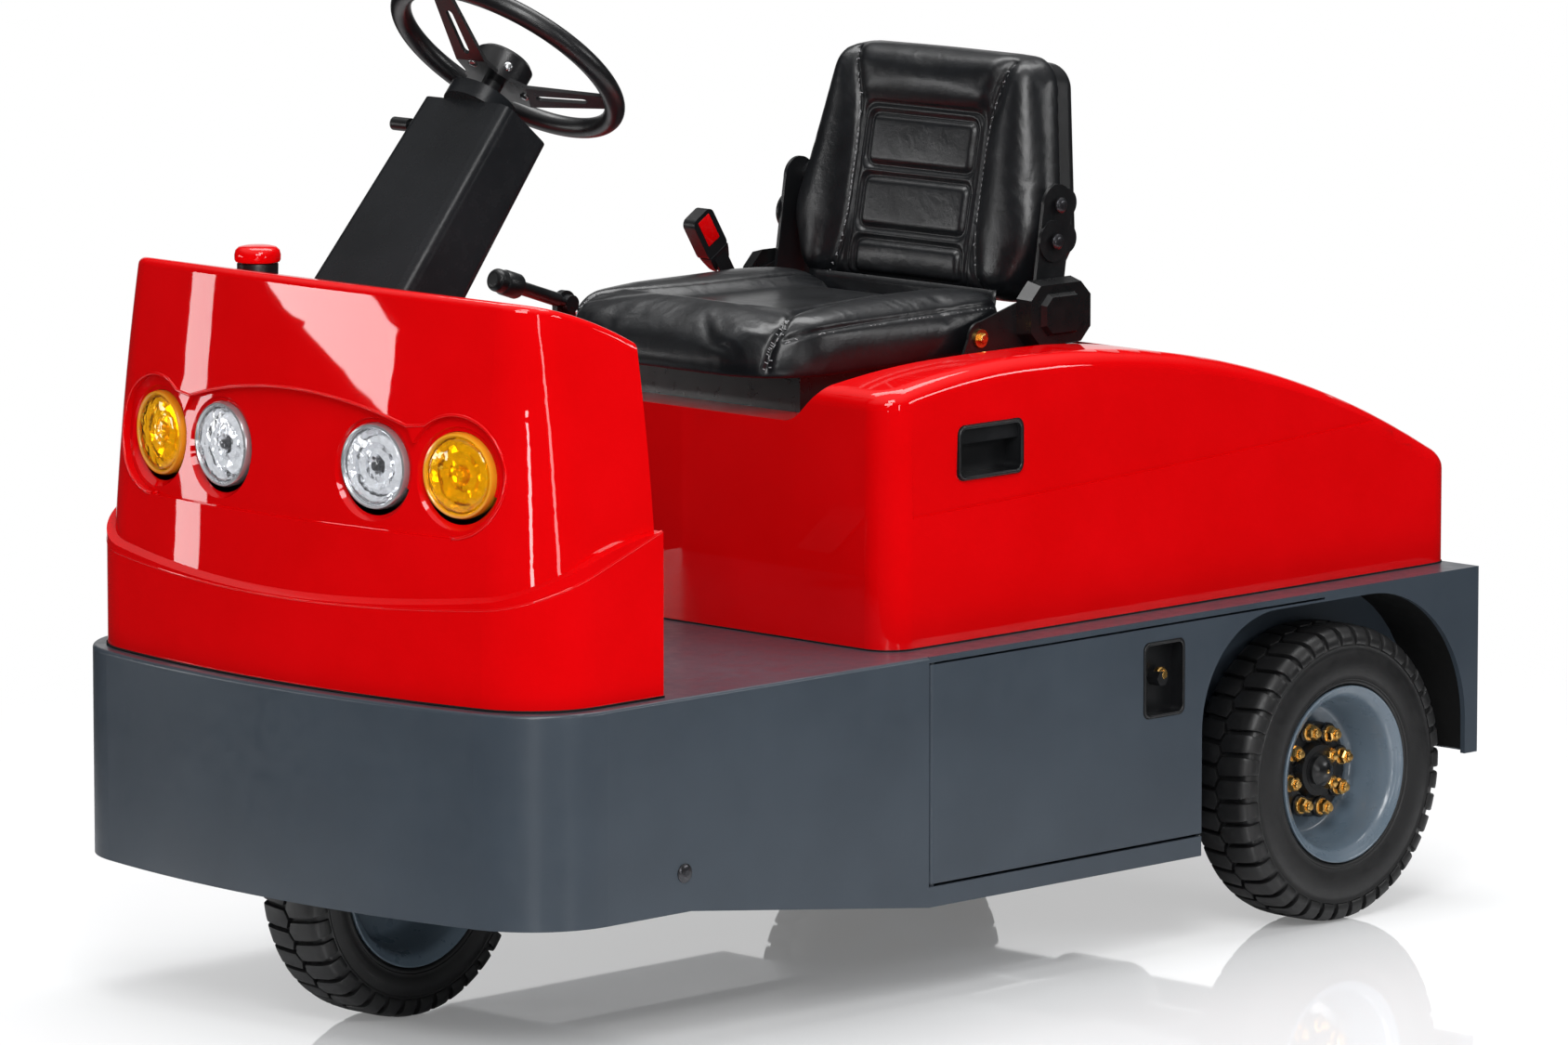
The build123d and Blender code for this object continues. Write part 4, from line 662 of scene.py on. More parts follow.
def inflate(name, verts, faces, held, voxel, cap, pressure=4.0, moments=20):
    """Pad remeshed, inflated as cloth between its held places and subdivided once."""
    obj = place_object(name, outward_mesh(name, verts, faces))
    remesh = obj.modifiers.new("voxels", "REMESH")
    remesh.mode = "VOXEL"
    remesh.voxel_size = voxel
    remesh.use_smooth_shade = True
    solid = evaluated(obj)
    obj.modifiers.clear()
    obj.data = solid
    start = [v.co.copy() for v in solid.vertices]
    pins = obj.vertex_groups.new(name="held")
    for v in solid.vertices:
        weight = held(v.co)
        if weight > 0:
            pins.add([v.index], weight, "REPLACE")
    cloth = obj.modifiers.new("cloth", "CLOTH")
    settings = cloth.settings
    settings.quality = 4
    settings.mass = 0.3
    settings.tension_stiffness = 12
    settings.compression_stiffness = 12
    settings.shear_stiffness = 5
    settings.bending_stiffness = 0.4
    settings.use_pressure = True
    settings.uniform_pressure_force = pressure
    settings.vertex_group_mass = "held"
    settings.effector_weights.gravity = 0.0
    cloth.collision_settings.use_collision = False
    scene = bpy.context.scene
    for moment in range(1, moments + 1):
        scene.frame_set(moment)
    swollen = evaluated(obj)
    ends = [v.co.copy() for v in swollen.vertices]
    obj.modifiers.clear()
    for v, a, b in zip(solid.vertices, start, ends):
        step = b - a
        if step.length > cap:
            step *= cap / step.length
        v.co = a + step
    scene.frame_set(1)
    relax = obj.modifiers.new("relax", "SMOOTH")
    relax.factor = 0.5
    relax.iterations = 4
    fine = obj.modifiers.new("fine", "SUBSURF")
    fine.levels = 1
    fine.render_levels = 1
    result = evaluated(obj)
    bpy.data.objects.remove(obj)
    return result


def surface_tree(mesh):
    """Search tree of a mesh's faces."""
    places = [v.co.copy() for v in mesh.vertices]
    return BVHTree.FromPolygons(places, [tuple(p.vertices) for p in mesh.polygons])


def along(points, step):
    """Points spaced by a step along a chain of control points, with softened corners."""
    chain = [Vector(p) for p in points]
    for _ in range(3):
        soft = [chain[0]]
        for a, b in zip(chain, chain[1:]):
            soft += [a * 0.75 + b * 0.25, a * 0.25 + b * 0.75]
        soft.append(chain[-1])
        chain = soft
    result, left = [chain[0]], 0.0
    for a, b in zip(chain, chain[1:]):
        length = (b - a).length
        place = step - left
        while place <= length:
            result.append(a + (b - a) * (place / length))
            place += step
        left = length - (place - step)
    return result


def lay_path(tree, points, span=6):
    """Path of points laid onto the nearest surface, with its line and normals evened out."""
    for _ in range(2):
        laid = [tree.find_nearest(p)[:2] for p in points]
        count = len(laid)
        points, normals = [], []
        for i in range(count):
            low, high = max(i - span, 0), min(i + span + 1, count)
            if i - low != high - 1 - i:
                reach = min(i - low, high - 1 - i)
                low, high = i - reach, i + reach + 1
            group = laid[low:high]
            points.append(sum((g[0] for g in group), Vector()) / len(group))
            normals.append(sum((g[1] for g in group), Vector()).normalized())
    return [(tree.find_nearest(p)[0], n) for p, n in zip(points, normals)]


def press(mesh, paths, depth, width):
    """Grooves sunk along paths on a mesh."""
    points = [p for path in paths for p, _ in path]
    tree = KDTree(len(points))
    for i, p in enumerate(points):
        tree.insert(p, i)
    tree.balance()
    normals = [v.normal.copy() for v in mesh.vertices]
    for v, n in zip(mesh.vertices, normals):
        _, _, distance = tree.find(v.co)
        if distance < 3 * width:
            v.co -= n * depth * math.exp(-((distance / width) ** 2))
    mesh.update()


def stitches(shape, path, offset, pitch=0.0075, length=0.0046, radius=0.00065, lift=0.0005):
    """Row of short raised threads beside a path, set off sideways from it."""
    travelled, waiting = 0.0, 0.0
    for (a, na), (b, _) in zip(path, path[1:]):
        step = (b - a).length
        travelled += step
        if travelled < waiting or step < 1e-6:
            continue
        waiting = travelled + pitch
        ahead = (b - a).normalized()
        side = ahead.cross(na).normalized()
        middle = a + side * offset + na * lift
        shape.tube([middle - ahead * length / 2, middle - ahead * length / 5 + na * radius,
                    middle + ahead * length / 5 + na * radius, middle + ahead * length / 2], radius, sides=5)


def cushion_outline():
    """Outline of the cushion seen from above, with wide front corners."""
    points = []
    for cx, cy, r, start in ((0.262, 0.224, 0.105, 0), (-0.190, 0.224, 0.045, 90),
                             (-0.190, -0.224, 0.045, 180), (0.262, -0.224, 0.105, 270)):
        mx = cx - r if cx > 0 else cx + r
        my = cy - r if cy > 0 else cy + r
        points += arc(mx, my, r, start, start + 90, 12)
    return spaced(points, 0.008)


def smooth(share):
    share = max(0.0, min(1.0, share))
    return share * share * (3 - 2 * share)


cushion_low, cushion_high = 0.8028, 0.884
cushion_round = 0.034
cushion_seam = ((-0.20, 0.124), (-0.025, 0.130), (0.085, 0.146), (0.139, 0.158), (0.187, 0.175),
                (0.235, 0.200), (0.30, 0.206))


def cushion_seam_y(x):
    """Half distance between the cushion's two long seams."""
    return between(cushion_seam, x)


def cushion_top(x, y, gap):
    """Height of the cushion's cover before it is inflated."""
    drop = cushion_round - min(gap, cushion_round)
    edge = cushion_round - math.sqrt(max(cushion_round ** 2 - drop ** 2, 0.0))
    inner = cushion_seam_y(x)
    sunk = smooth((inner - abs(y)) / 0.034) * smooth((0.190 - x) / 0.050) * 0.021
    back = smooth((-0.08 - x) / 0.12) * 0.004
    roll = smooth((0.262 - x) / 0.085)
    crown = 0.004 * smooth((abs(y) - inner) / 0.03) * smooth((0.20 - x) / 0.1)
    return cushion_high - edge - sunk - back + crown - 0.014 * (1 - roll)


def cushion_held(co):
    """Hold of the cloth: firm at the cushion's foot, fading away from its seams."""
    seam = abs(abs(co.y) - cushion_seam_y(co.x))
    if co.z < cushion_low + 0.008:
        return 1.0
    return 1 - smooth(seam / 0.010) if co.z > 0.83 else 0.0


def laid_stitches(shape, tree, path, offset):
    """Stitches beside a path after the surface has been pressed."""
    stitches(shape, [(tree.find_nearest(p)[0], n) for p, n in path], offset)


verts, faces = slab(cushion_outline(), (0.03, 0.0), cushion_top, cushion_low,
                    lambda a, b, c: Vector((a, b, c)))
cushion = inflate("cushion_cover", verts, faces, cushion_held, voxel=0.0058, cap=0.009)
tree = surface_tree(cushion)
seam_paths = []
for side in (1, -1):
    top = along([(-0.186, side * 0.124, 0.88), (-0.025, side * 0.130, 0.88), (0.085, side * 0.146, 0.88),
                 (0.139, side * 0.158, 0.88), (0.187, side * 0.175, 0.88), (0.235, side * 0.200, 0.875),
                 (0.262, side * 0.206, 0.850), (0.268, side * 0.205, 0.812)], 0.002)
    seam_paths.append(lay_path(tree, top))
edge_paths = []
for side in (1, -1):
    rim_line = along([(0.238, side * 0.215, 0.862), (0.16, side * 0.222, 0.866), (0.05, side * 0.223, 0.870),
                      (-0.06, side * 0.223, 0.873), (-0.165, side * 0.222, 0.872)], 0.002)
    edge_paths.append(lay_path(tree, rim_line))
front_fold = [lay_path(tree, along([(0.188, -0.165, 0.88), (0.182, 0.0, 0.88), (0.188, 0.165, 0.88)], 0.002))]
press(cushion, seam_paths, 0.0060, 0.0050)
press(cushion, edge_paths, 0.0030, 0.0040)
press(cushion, front_fold, 0.0016, 0.010)
tree = surface_tree(cushion)
threads = Shape()
for path in seam_paths:
    front = [(p, n) for p, n in path if p.x > 0.20]
    for offset in (0.0046, -0.0046):
        laid_stitches(threads, tree, front, offset)
for path, offset in zip(edge_paths, (0.0048, -0.0048)):
    laid_stitches(threads, tree, path, offset)
cushion_piece = place_piece("cushion_cover", cushion, hide, "hood", ("seat_cushion",), 60.0)
piece("cushion_stitching", threads, thread, "hood", sharp=60.0)

lean = math.radians(11.0)
back_origin = Vector((-0.197, 0.0, 0.872))
back_up = Vector((-math.sin(lean), 0.0, math.cos(lean)))
back_out = Vector((math.cos(lean), 0.0, math.sin(lean)))


def back_point(y, h, w):
    """Point of the backrest from its side place, height along its lean and way out of its face."""
    return back_origin + Vector((0, y, 0)) + back_up * h + back_out * w


def back_outline():
    """Front outline of the backrest, widest at its belly, with rounded corners."""
    corners = [(-0.196, 0.0), (0.196, 0.0), (0.232, 0.090), (0.181, 0.330), (-0.181, 0.330), (-0.232, 0.090)]
    radii = [0.045, 0.045, 0.09, 0.045, 0.045, 0.09]
    points = []
    for i, (corner, radius) in enumerate(zip(corners, radii)):
        here = Vector(corner)
        before, after = Vector(corners[i - 1]), Vector(corners[(i + 1) % len(corners)])
        a, b = (before - here).normalized(), (after - here).normalized()
        half = a.angle(b) / 2
        reach = radius / math.tan(half)
        centre = here + (a + b).normalized() * radius / math.sin(half)
        start, end = here + a * reach, here + b * reach
        s, e = (start - centre), (end - centre)
        for k in range(11):
            mixed = s.lerp(e, k / 10).normalized() * radius
            points.append(tuple(centre + mixed))
    return spaced(points, 0.008)


back_seam = ((-0.01, 0.146), (0.03, 0.128), (0.08, 0.118), (0.20, 0.117), (0.25, 0.122), (0.30, 0.138),
             (0.34, 0.152))
pad_folds = (0.247, 0.154, 0.0675)


def back_seam_y(h):
    """Half distance between the backrest's two long seams."""
    return between(back_seam, h)


def back_front(y, h, gap):
    """Way out of the backrest's face before it is inflated."""
    radius = 0.032
    drop = radius - min(gap, radius)
    edge = radius - math.sqrt(max(radius ** 2 - drop ** 2, 0.0))
    inner = back_seam_y(h)
    bolster = 0.010 * smooth((abs(y) - inner) / 0.030)
    head = 0.011 * smooth((h - 0.245) / 0.02) * smooth((inner - abs(y)) / 0.02)
    return -0.010 - edge + bolster + head


def back_held(co):
    """Hold of the cloth: firm at the shell, fading away from the seams and the folds between the pads."""
    local = co - back_origin
    h, w = local.dot(back_up), local.dot(back_out)
    if w < -0.058:
        return 1.0
    held = 1 - smooth(abs(abs(co.y) - back_seam_y(h)) / 0.010) if w > -0.03 else 0.0
    if abs(co.y) < back_seam_y(h):
        held = max(held, 1 - smooth(min(abs(h - fold) for fold in pad_folds) / 0.009))
    return held


verts, faces = slab(back_outline(), (0.0, 0.160), back_front, -0.0655, back_point)
backrest = inflate("backrest_cover", verts, faces, back_held, voxel=0.005, cap=0.008)
tree = surface_tree(backrest)
long_seams = []
for side in (1, -1):
    heights = (0.004, 0.03, 0.08, 0.14, 0.20, 0.25, 0.30, 0.328)
    line = along([(side * back_seam_y(h), h, 0.0) for h in heights], 0.002)
    long_seams.append(lay_path(tree, [back_point(p.x, p.y, -0.008) for p in line]))
face_sink = -0.010
pad_paths = []
for low, high in ((0.004, 0.060), (0.075, 0.147), (0.161, 0.233)):
    ring = [(x, (low + high) / 2 + z) for x, z in rounded_rect(0.198, high - low, 0.012)]
    pad_paths.append(lay_path(tree, [back_point(a, b, face_sink) for a, b in spaced(ring, 0.002)], 2))
ring = [(x, 0.1215 + z) for x, z in rounded_rect(0.222, 0.249, 0.016)]
frame_path = [lay_path(tree, [back_point(a, b, face_sink) for a, b in spaced(ring, 0.002)], 2)]
press(backrest, pad_paths, 0.0058, 0.0048)
press(backrest, frame_path, 0.0036, 0.0038)
press(backrest, long_seams, 0.0040, 0.0045)
tree = surface_tree(backrest)
threads = Shape()
for path, offset in zip(long_seams, (0.0042, -0.0042)):
    laid_stitches(threads, tree, path, offset)
back_piece = place_piece("backrest_cover", backrest, hide, "backrest", ("back_cushion",),
                         60.0)
piece("backrest_stitching", threads, thread, "backrest", sharp=60.0)


# Flap of upholstery that closes the gap under the backrest

flap_rows = ((-0.1960, 0.812), (-0.2000, 0.835), (-0.2030, 0.852), (-0.2050, 0.862), (-0.2060, 0.870),
             (-0.2070, 0.880))
flap_half, flap_thickness, flap_bow, columns = 0.176, 0.002, 0.002, 24
verts, faces = [], []
for thickness in (0.0, flap_thickness):
    for x, z in flap_rows:
        for k in range(columns + 1):
            bow = flap_bow * math.sin(math.pi * k / columns)
            verts.append(Vector((x - thickness - bow, -flap_half + 2 * flap_half * k / columns, z)))
row, sheet = columns + 1, (columns + 1) * len(flap_rows)
for layer in (0, 1):
    for i in range(len(flap_rows) - 1):
        for k in range(columns):
            a = layer * sheet + i * row + k
            face = (a, a + 1, a + row + 1, a + row)
            faces.append(face if layer == 0 else face[::-1])
edge = list(range(row)) + [i * row + columns for i in range(1, len(flap_rows))]
edge += [sheet - row + k for k in range(columns - 1, -1, -1)]
edge += [i * row for i in range(len(flap_rows) - 2, 0, -1)]
for a, b in zip(edge, edge[1:] + edge[:1]):
    faces.append((b, a, a + sheet, b + sheet))
flap_mesh = outward_mesh("seat_flap", verts, faces)
flap_mesh.materials.append(hide)
for polygon in flap_mesh.polygons:
    polygon.use_smooth = True
flap = place_object("seat_flap", flap_mesh)
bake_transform(flap)


# Dark sheets inside the rear wheel arches: painted shade over the slate walls of the wells

arch_foot, arch_rear_foot = 0.140, 0.206


def arch_line(grow):
    """Side outline of a wheel arch, grown outwards, from the front sill to the rear."""
    axle_x = rear_axle[0]
    front, rear, top = axle_x + 0.279 + grow, axle_x - 0.263 - grow, 0.446 + grow
    points = [(front, arch_foot)] + arc(front - 0.150, top - 0.150, 0.150, 0, 90, 12)
    return points + arc(rear + 0.200, top - 0.200, 0.200, 90, 180, 12) + [(rear, arch_rear_foot)]


# Thin black sheets along each arch and across each well's inner wall, as painted shade where the wells fall
# dark
arch_shade_sheets = Shape()
for side, _ in sides:
    inner_line, outer_line = arch_line(0.0005), arch_line(0.0025)
    count = len(inner_line)
    verts = [Vector((x, side * y, z)) for y in (0.4465, 0.3440) for x, z in inner_line + outer_line[::-1]]
    ring = 2 * count
    faces = [(k, (k + 1) % ring, ring + (k + 1) % ring, ring + k) for k in range(ring)]
    for k in range(count - 1):
        for base in (0, ring):
            faces.append((base + k, base + k + 1, base + ring - 2 - k, base + ring - 1 - k))
    arch_shade_sheets.add(verts, faces)
    wall = arch_line(-0.002)
    wall += [(-0.672, arch_rear_foot), (-0.672, 0.345), (-0.522, 0.345), (-0.522, arch_foot)]
    verts = [Vector((x, side * y, z)) for y in (0.3450, 0.3430) for x, z in wall]
    n = len(wall)
    faces = [tuple(range(n)), tuple(range(n, 2 * n))[::-1]]
    faces += [(k, n + k, n + (k + 1) % n, (k + 1) % n) for k in range(n)]
    arch_shade_sheets.add(verts, faces)
piece("arch_painted_shade", arch_shade_sheets, seal_black_and_painted_shade, "chassis", sharp=40.0)


# Small fittings

def dome_screw(shape, place, way, radius, height):
    shape.lathe([(0.0001, -0.001), (radius, -0.001), (radius, height * 0.3), (radius * 0.8, height * 0.75),
                 (radius * 0.45, height), (0.0001, height)], place, way, 28)


def pocket_trim(name, label, side, body, margin, corner, radius):
    """Bezel round the mouth of a pocket on a side panel; gives the pocket's middle."""
    low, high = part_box(name + "_" + label)
    middle = (low + high) / 2
    face_y = max(abs(low.y), abs(high.y)) * side
    mouth = rounded_rect(high.x - low.x - margin, high.z - low.z - margin, corner)
    bezel = Shape()
    bezel.tube([(middle.x + x, face_y, middle.z + z) for x, z in mouth], radius, closed=True)
    piece(name + "_bezel_" + label, bezel, black_plastic, body, (), 60.0)
    return middle


screws, sockets = Shape(), Shape()
for side, _ in sides:
    dome_screw(screws, (screw_x, side * half_width, screw_z), (0, side, 0), 0.0125, 0.0040)
    sockets.lathe([(0.0001, 0.0), (0.0045, 0.0), (0.0045, 0.0046), (0.0001, 0.0046)],
                  (screw_x, side * half_width, screw_z), (0, side, 0), 6)
piece("skirt_screws", screws, dark_steel, "chassis")
piece("skirt_sockets", sockets, dark_steel, "chassis")

lock_depth = 0.014
for side, label in sides:
    middle = pocket_trim("latch", label, side, "door_" + label, 0.006, 0.010, 0.0022)
    spot = Vector((middle.x - 0.004, side * (half_width - lock_depth), middle.z + 0.004))
    lock = Shape()
    lock.lathe(knob_profile([(0.0105, 0.0), (0.0105, 0.0060), (0.0090, 0.0075)]), spot, (0, side, 0), 32)
    lock.lathe(knob_profile([(0.0062, 0.006), (0.0062, 0.0105), (0.0050, 0.0118)]), spot, (0, side, 0), 6)
    piece("latch_lock_" + label, lock, brass, "door_" + label)
    pocket_trim("handle", label, side, "hood", 0.007, 0.011, 0.0030)


def cowl_plan(inset, z, steps=40):
    """Outline of the rounded nose at an inset, from the left rear round the front to the right rear."""
    corner_r, nose_r, half = nose_corner - inset, nose_radius - inset, half_width - inset
    corner_y = half_width - nose_corner
    run = math.sqrt((nose_radius - nose_corner) ** 2 - corner_y ** 2)
    corner_x = nose_centre_x + run
    turn = math.degrees(math.atan2(corner_y, run))
    points = [(0.682, half)] + arc(corner_x, corner_y, corner_r, 90, turn, 12)[:-1]
    points += arc(nose_centre_x, 0.0, nose_r, turn, -turn, steps)
    points += arc(corner_x, -corner_y, corner_r, -turn, -90, 12)[1:] + [(0.682, -half)]
    return [Vector((x, y, z)) for x, y in points]


seal = Shape()
seal.tube(cowl_plan(0.0195, 0.4612), 0.0017, closed=True, sides=6)
hood_ring = [Vector((-0.333 + x, y, 0.4608)) for x, y in rounded_rect(1.1295, 0.8000, 0.045, 10)]
seal.tube(hood_ring, 0.0014, closed=True, sides=6)
piece("body_seals", seal, seal_black_and_painted_shade, "chassis", sharp=60.0)

plate_bolts, seat_bolts = Shape(), Shape()
for way, _ in sides:
    dome_screw(plate_bolts, (-0.255, way * 0.2512, 0.998), (0, way, 0), 0.0105, 0.0050)
    dome_screw(plate_bolts, (-0.244, way * 0.2552, 0.950), (0, way, 0), 0.0105, 0.0050)
    spot = (-0.098, way * 0.2502, 0.832)
    washer = [(0.0001, -0.001), (0.0125, -0.001), (0.0125, 0.0030), (0.0001, 0.0030)]
    seat_bolts.lathe(washer, spot, (0, way, 0), 28)
    nut = knob_profile([(0.0072, 0.002), (0.0072, 0.0078), (0.0058, 0.0090)])
    seat_bolts.lathe(nut, spot, (0, way, 0), 6)
piece("recliner_bolts", plate_bolts, dark_steel, "backrest")
piece("seat_bolts", seat_bolts, brass, "hood")

column_lean = math.radians(40.0)
wheel_centre = Vector((0.535, 0.0, 1.237))
axis_up = Vector((-math.sin(column_lean), 0.0, math.cos(column_lean)))
across = Vector((0.0, 1.0, 0.0))
along_rim = axis_up.cross(across)
head_radius, head_height = 0.0062, 0.0035


def wheel_way(degrees):
    """Direction in the steering wheel's plane."""
    angle = math.radians(degrees)
    return across * math.cos(angle) + along_rim * math.sin(angle)


hub_bolts = Shape()
for turn in (90, 210, 330):
    out = wheel_way(turn)
    dome_screw(hub_bolts, wheel_centre - axis_up * 0.026 + out * 0.0395, out, head_radius, head_height)
for turn in (30, 150, 270):
    spot = wheel_centre - axis_up * 0.0365 + wheel_way(turn) * 0.047
    dome_screw(hub_bolts, spot, axis_up, head_radius, head_height)
    dome_screw(hub_bolts, spot - axis_up * 0.0055, -axis_up, head_radius, head_height)
piece("steering_bolts", hub_bolts, steel, "steering_wheel")


# Black sleeve and red release button of the belt buckle

buckle_lean = math.radians(32.0)
buckle_up = Vector((math.sin(buckle_lean), 0.0, math.cos(buckle_lean)))
buckle_across = Vector((math.cos(buckle_lean), 0.0, -math.sin(buckle_lean)))
anchor = Vector((0.232 - 0.372, -0.250, 0.460 + 0.390))
corners = ((1, 1), (-1, 1), (-1, -1), (1, -1))


def stacked(levels):
    """Closed shape from rings of four points."""
    shape = Shape()
    faces = [(0, 1, 2, 3), tuple(4 * len(levels) - 4 + k for k in range(4))]
    for level in range(0, 4 * len(levels) - 4, 4):
        faces += [(level + k, level + (k + 1) % 4, level + 4 + (k + 1) % 4, level + 4 + k) for k in range(4)]
    shape.add([p for ring in levels for p in ring], faces)
    return shape


button_middle = anchor + buckle_up * (0.128 - 0.026)
button = stacked([[button_middle + buckle_up * (0.020 * sz) + buckle_across * (0.012 * sx) + Vector((0, y, 0))
                   for sx, sz in corners] for y in (0.0008, -0.0267)])
sleeve_rows = ((0.040, 0.0135, 0.0030), (0.046, 0.0165, 0.0060), (0.058, 0.0190, 0.0090),
               (0.066, 0.0200, 0.0110))
sleeve = stacked([[anchor + buckle_up * up + buckle_across * (a * sx) + Vector((0, b * sy - 0.0095, 0))
                   for sx, sy in corners] for up, a, b in sleeve_rows])
piece("buckle_sleeve", sleeve, black_plastic, "hood", (), bevel=0.0015)
piece("buckle_button", button, red, "hood", bevel=0.0012)

low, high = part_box("stop_button")
stop_middle = (low + high) / 2
collar = Shape()
collar.lathe([(0.0205, -0.046), (0.0262, -0.046), (0.0272, -0.0020), (0.0262, 0.0), (0.0205, 0.0)],
             (stop_middle.x, stop_middle.y, high.z - 0.0215), (0, 0, 1), 48, closed=True)
piece("stop_collar", collar, black_plastic, "chassis", (), 40.0)
cap = Shape()
cap.lathe([(0.0245, -0.0200), (0.0290, -0.0200), (0.0304, -0.0175), (0.0306, -0.0110), (0.0290, -0.0050),
           (0.0250, -0.0012), (0.0180, 0.0004), (0.0001, 0.0010)],
          (stop_middle.x, stop_middle.y, high.z), (0, 0, 1), 56)
piece("stop_cap", cap, red, "chassis", (), 50.0)


# Black boot round the park lever's bracket, and the lever's sleeve and knob

lever_foot = Vector((0.102, -0.330, 0.845))
boot_gap = 0.0006
boot_middle = Vector((0.102, -0.338, 0.83))
hood_mesh = nodes["hood"].data


def on_bracket(co):
    return co.y < -0.318 and co.z > 0.816 and 0.07 < co.x < 0.135


bracket = [tuple(f.vertices) for f in hood_mesh.polygons
           if all(on_bracket(hood_mesh.vertices[v].co) for v in f.vertices)]
used = sorted({v for f in bracket for v in f})
order = {v: k for k, v in enumerate(used)}
spots = [hood_mesh.vertices[v].co for v in used]
boot = Shape()
boot.add([co + (co - boot_middle).normalized() * boot_gap for co in spots],
         [tuple(order[v] for v in f) for f in bracket])
piece("lever_boot", boot, black_plastic, "hood", ())
lever_lean = math.radians(18)
sleeve = Shape()
sleeve.lathe([(0.0001, 0.024), (0.0092, 0.024), (0.0096, 0.028), (0.0096, 0.100), (0.0118, 0.104),
              (0.0165, 0.1045), (0.0176, 0.107), (0.0176, 0.131), (0.0160, 0.1345), (0.0120, 0.1362),
              (0.0001, 0.1366)],
             lever_foot, Vector((math.cos(lever_lean), 0, math.sin(lever_lean))), 40)
piece("lever_sleeve", sleeve, black_plastic, "park_lever", (), 40.0)


# Rounded lips that catch the light on the cowl's panel and step

cowl_tree = surface_tree(nodes["cowl"].data)
lip_radius = 0.0022


def on_cowl(y, z):
    """Point where a level line from ahead meets the cowl."""
    return cowl_tree.ray_cast(Vector((1.2, y, z)), Vector((-1, 0, 0)))[0]


def panel_outline():
    """Upper edge of the lamp panel and round its two end wells, just outside it."""
    sag, half = 0.030, 0.205
    radius = (half ** 2 + sag ** 2) / (2 * sag)
    top = frame_top + 0.378 + lip_radius
    edge = [-half + 2 * half * k / 40 for k in range(41)]
    edge = [(y, top - radius + math.sqrt(radius ** 2 - y * y)) for y in edge]
    right = arc(amber_lamp_y, lamp_height, 0.076 + lip_radius, 128, -92, 40)
    return [(-y, z) for y, z in reversed(right)] + edge + right


lips = Shape()
lip = [on_cowl(y, z) for y, z in panel_outline()]
lips.tube([p for p in lip if p is not None], lip_radius)
band_low, band_rise, band_reach, band_rear_x = 0.560, 0.114, 0.288, 0.684
step = []
for p in cowl_plan(0.0216, 0.0)[1:-1]:
    height = band_low + band_rise * min(1.0, (nose_x - p.x) / band_reach) ** 0.86
    step.append(Vector((p.x, p.y, height)))
band_high = band_low + band_rise
step = [Vector((band_rear_x, step[0].y, band_high))] + step + [Vector((band_rear_x, step[-1].y, band_high))]
lips.tube(step, lip_radius)
piece("cowl_lips", lips, red, "chassis", (), 60.0)


# Studio

def softbox(name, place, target, size, power, roll=0.0):
    """Area light that only its effect shows."""
    light = bpy.data.lights.new(name, "AREA")
    light.shape = "RECTANGLE"
    light.size, light.size_y = size
    light.energy = power
    source = place_object(name, light)
    source.location = place
    source.visible_camera = False
    aim = (Vector(target) - Vector(place)).to_track_quat("-Z", "Y")
    source.rotation_euler = (aim.to_matrix() @ Matrix.Rotation(math.radians(roll), 3, "Z")).to_euler()


def ease(tree, source, low, high, start=0.0, end=1.0):
    """Smooth step of a source between two of its values."""
    values = {"From Min": low, "From Max": high, "To Min": start, "To Max": end}
    node = add_node(tree, "MapRange", {"Value": source}, values, interpolation_type="SMOOTHSTEP")
    return node.outputs["Result"]


def mixed(tree, share, first, second):
    return add_node(tree, "MixShader", {0: share, 1: first, 2: second}).outputs[0]


def studio_floor():
    """Pale glossy floor that fades into the white background away from the object."""
    material, tree, surface = new_material("floor_pale")
    ray = add_node(tree, "LightPath")
    glow = add_node(tree, "Math", {0: ray.outputs["Is Camera Ray"]}, {1: 0.15}, operation="MULTIPLY")
    finish_surface(tree, surface, {"Emission Strength": glow.outputs[0]}, {
        "Base Color": (0.93, 0.935, 0.94, 1.0),
        "Roughness": 0.03,
        "IOR": 2.7,
        "Emission Color": (1.0, 1.0, 1.0, 1.0),
    })
    distance = add_node(tree, "VectorMath", {0: object_coords(tree)}, operation="LENGTH").outputs["Value"]
    clear = add_node(tree, "BsdfTransparent").outputs[0]
    output = [n for n in tree.nodes if n.type == "OUTPUT_MATERIAL"][0]
    tree.links.new(mixed(tree, ease(tree, distance, 1.0, 2.6), surface.outputs[0], clear), output.inputs[0])
    return material


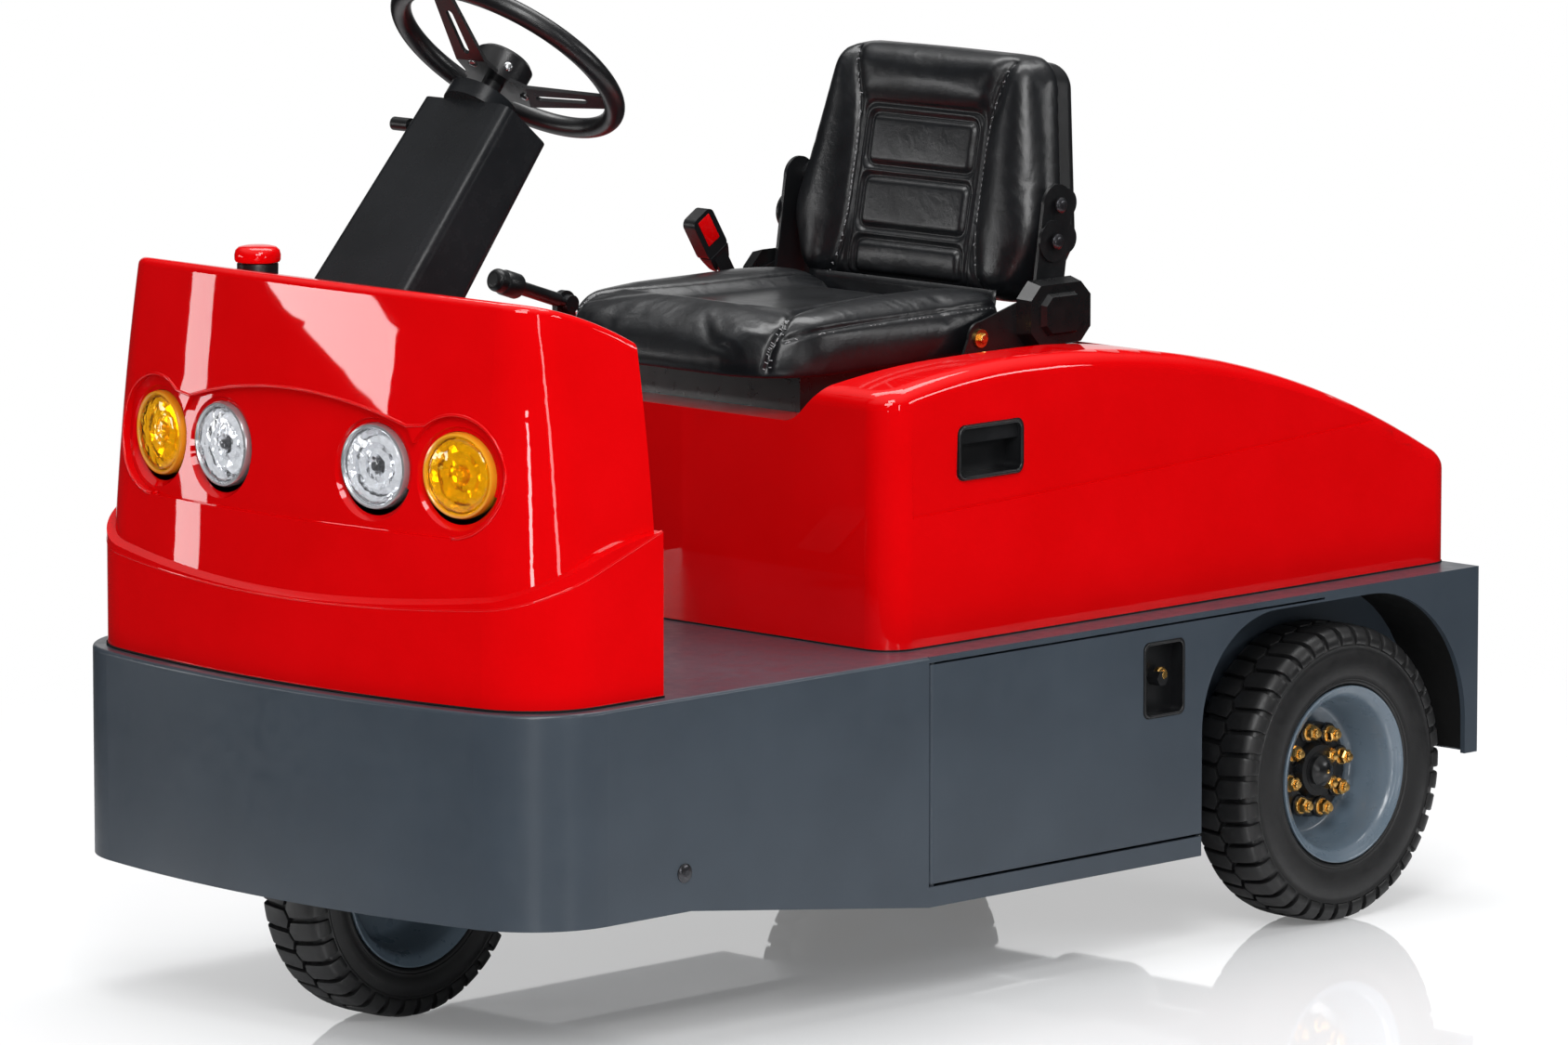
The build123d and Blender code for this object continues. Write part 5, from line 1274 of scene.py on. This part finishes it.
def studio_world():
    """White behind the object and through glass; dark walls, a bright ceiling and a backdrop in gloss."""
    world = bpy.data.worlds.new("studio")
    bpy.context.scene.world = world
    world.use_nodes = True
    tree = world.node_tree
    tree.nodes.clear()
    ray = add_node(tree, "LightPath")
    white = add_node(tree, "Background", values={"Color": (1.0, 1.0, 1.0, 1.0), "Strength": 1.0})
    fill = add_node(tree, "Background", values={"Color": (0.95, 0.97, 1.0, 1.0), "Strength": 0.34})
    way = add_node(tree, "TexCoord").outputs["Generated"]
    upward = add_node(tree, "SeparateXYZ", {0: way}).outputs["Z"]
    facing = add_node(tree, "VectorMath", {0: way}, {1: (-0.72, -0.69, 0.0)}, operation="DOT_PRODUCT")
    ceiling = ease(tree, upward, 0.38, 0.95, 0.03, 1.0)
    backdrop = ease(tree, facing.outputs["Value"], 0.91, 0.975)
    brighter = add_node(tree, "Math", {0: ceiling, 1: backdrop}, operation="MAXIMUM")
    mirrored = add_node(tree, "Background", {"Strength": brighter.outputs[0]})
    seen = add_node(tree, "Math", {0: ray.outputs["Is Camera Ray"], 1: ray.outputs["Is Transmission Ray"]},
                    operation="MAXIMUM")
    shiny = mixed(tree, ray.outputs["Is Glossy Ray"], fill.outputs[0], mirrored.outputs[0])
    add_node(tree, "OutputWorld", {"Surface": mixed(tree, seen.outputs[0], shiny, white.outputs[0])})


studio_world()
floor_mesh = bpy.data.meshes.new("floor")
grid = bmesh.new()
bmesh.ops.create_grid(grid, x_segments=2, y_segments=2, size=14.0)
grid.to_mesh(floor_mesh)
grid.free()
floor_mesh.materials.append(studio_floor())
floor = place_object("floor", floor_mesh)

softbox("key", (3.4, 3.2, 3.4), (0.2, 0.0, 0.6), (2.2, 1.3), 100.0)
softbox("window", (4.4, -3.6, 1.16), (0.7, 0.0, 0.9), (2.4, 0.30), 26.0, roll=-9.0)
softbox("near_window", (5.6, 5.2, 3.0), (0.8, 0.3, 0.8), (1.5, 0.42), 22.0)
softbox("column_light", (1.9, 2.5, 3.9), (0.5, 0.0, 1.0), (1.3, 1.0), 46.0)
softbox("corner_strip", (4.4, 4.1, 0.62), (0.75, 0.35, 0.45), (0.42, 1.2), 26.0)
softbox("left_strip", (3.4, -4.6, 1.0), (0.8, 0.0, 0.5), (0.35, 2.2), 18.0)
softbox("side_strip", (1.2, 5.4, 1.3), (0.4, 0.0, 0.6), (0.4, 2.4), 22.0)
softbox("right_strip", (-3.4, 4.4, 2.6), (-0.4, 0.0, 0.6), (2.4, 0.6), 44.0)
softbox("top", (-0.6, -0.4, 3.8), (-0.2, 0.0, 0.8), (3.4, 1.6), 110.0)

camera_data = bpy.data.cameras.new("camera")
camera = place_object("camera", camera_data)
camera_data.sensor_width = 36.0
camera_data.lens = 231.4
camera_data.clip_end = 60.0
focal_px, shift_px = 10849.8, 115.8
camera.location = (9.6061, 9.4315, 2.5812)
optical = Vector((0.70602349, 0.69473525, 0.1373818))
sideways = Vector((-optical.y, optical.x, 0.0)).normalized()
upward = optical.cross(sideways)
look = (-optical * focal_px - upward * shift_px).normalized()
camera.rotation_euler = look.to_track_quat("-Z", "Y").to_euler()
bpy.context.scene.camera = camera
bpy.context.scene.view_settings.view_transform = "Standard"
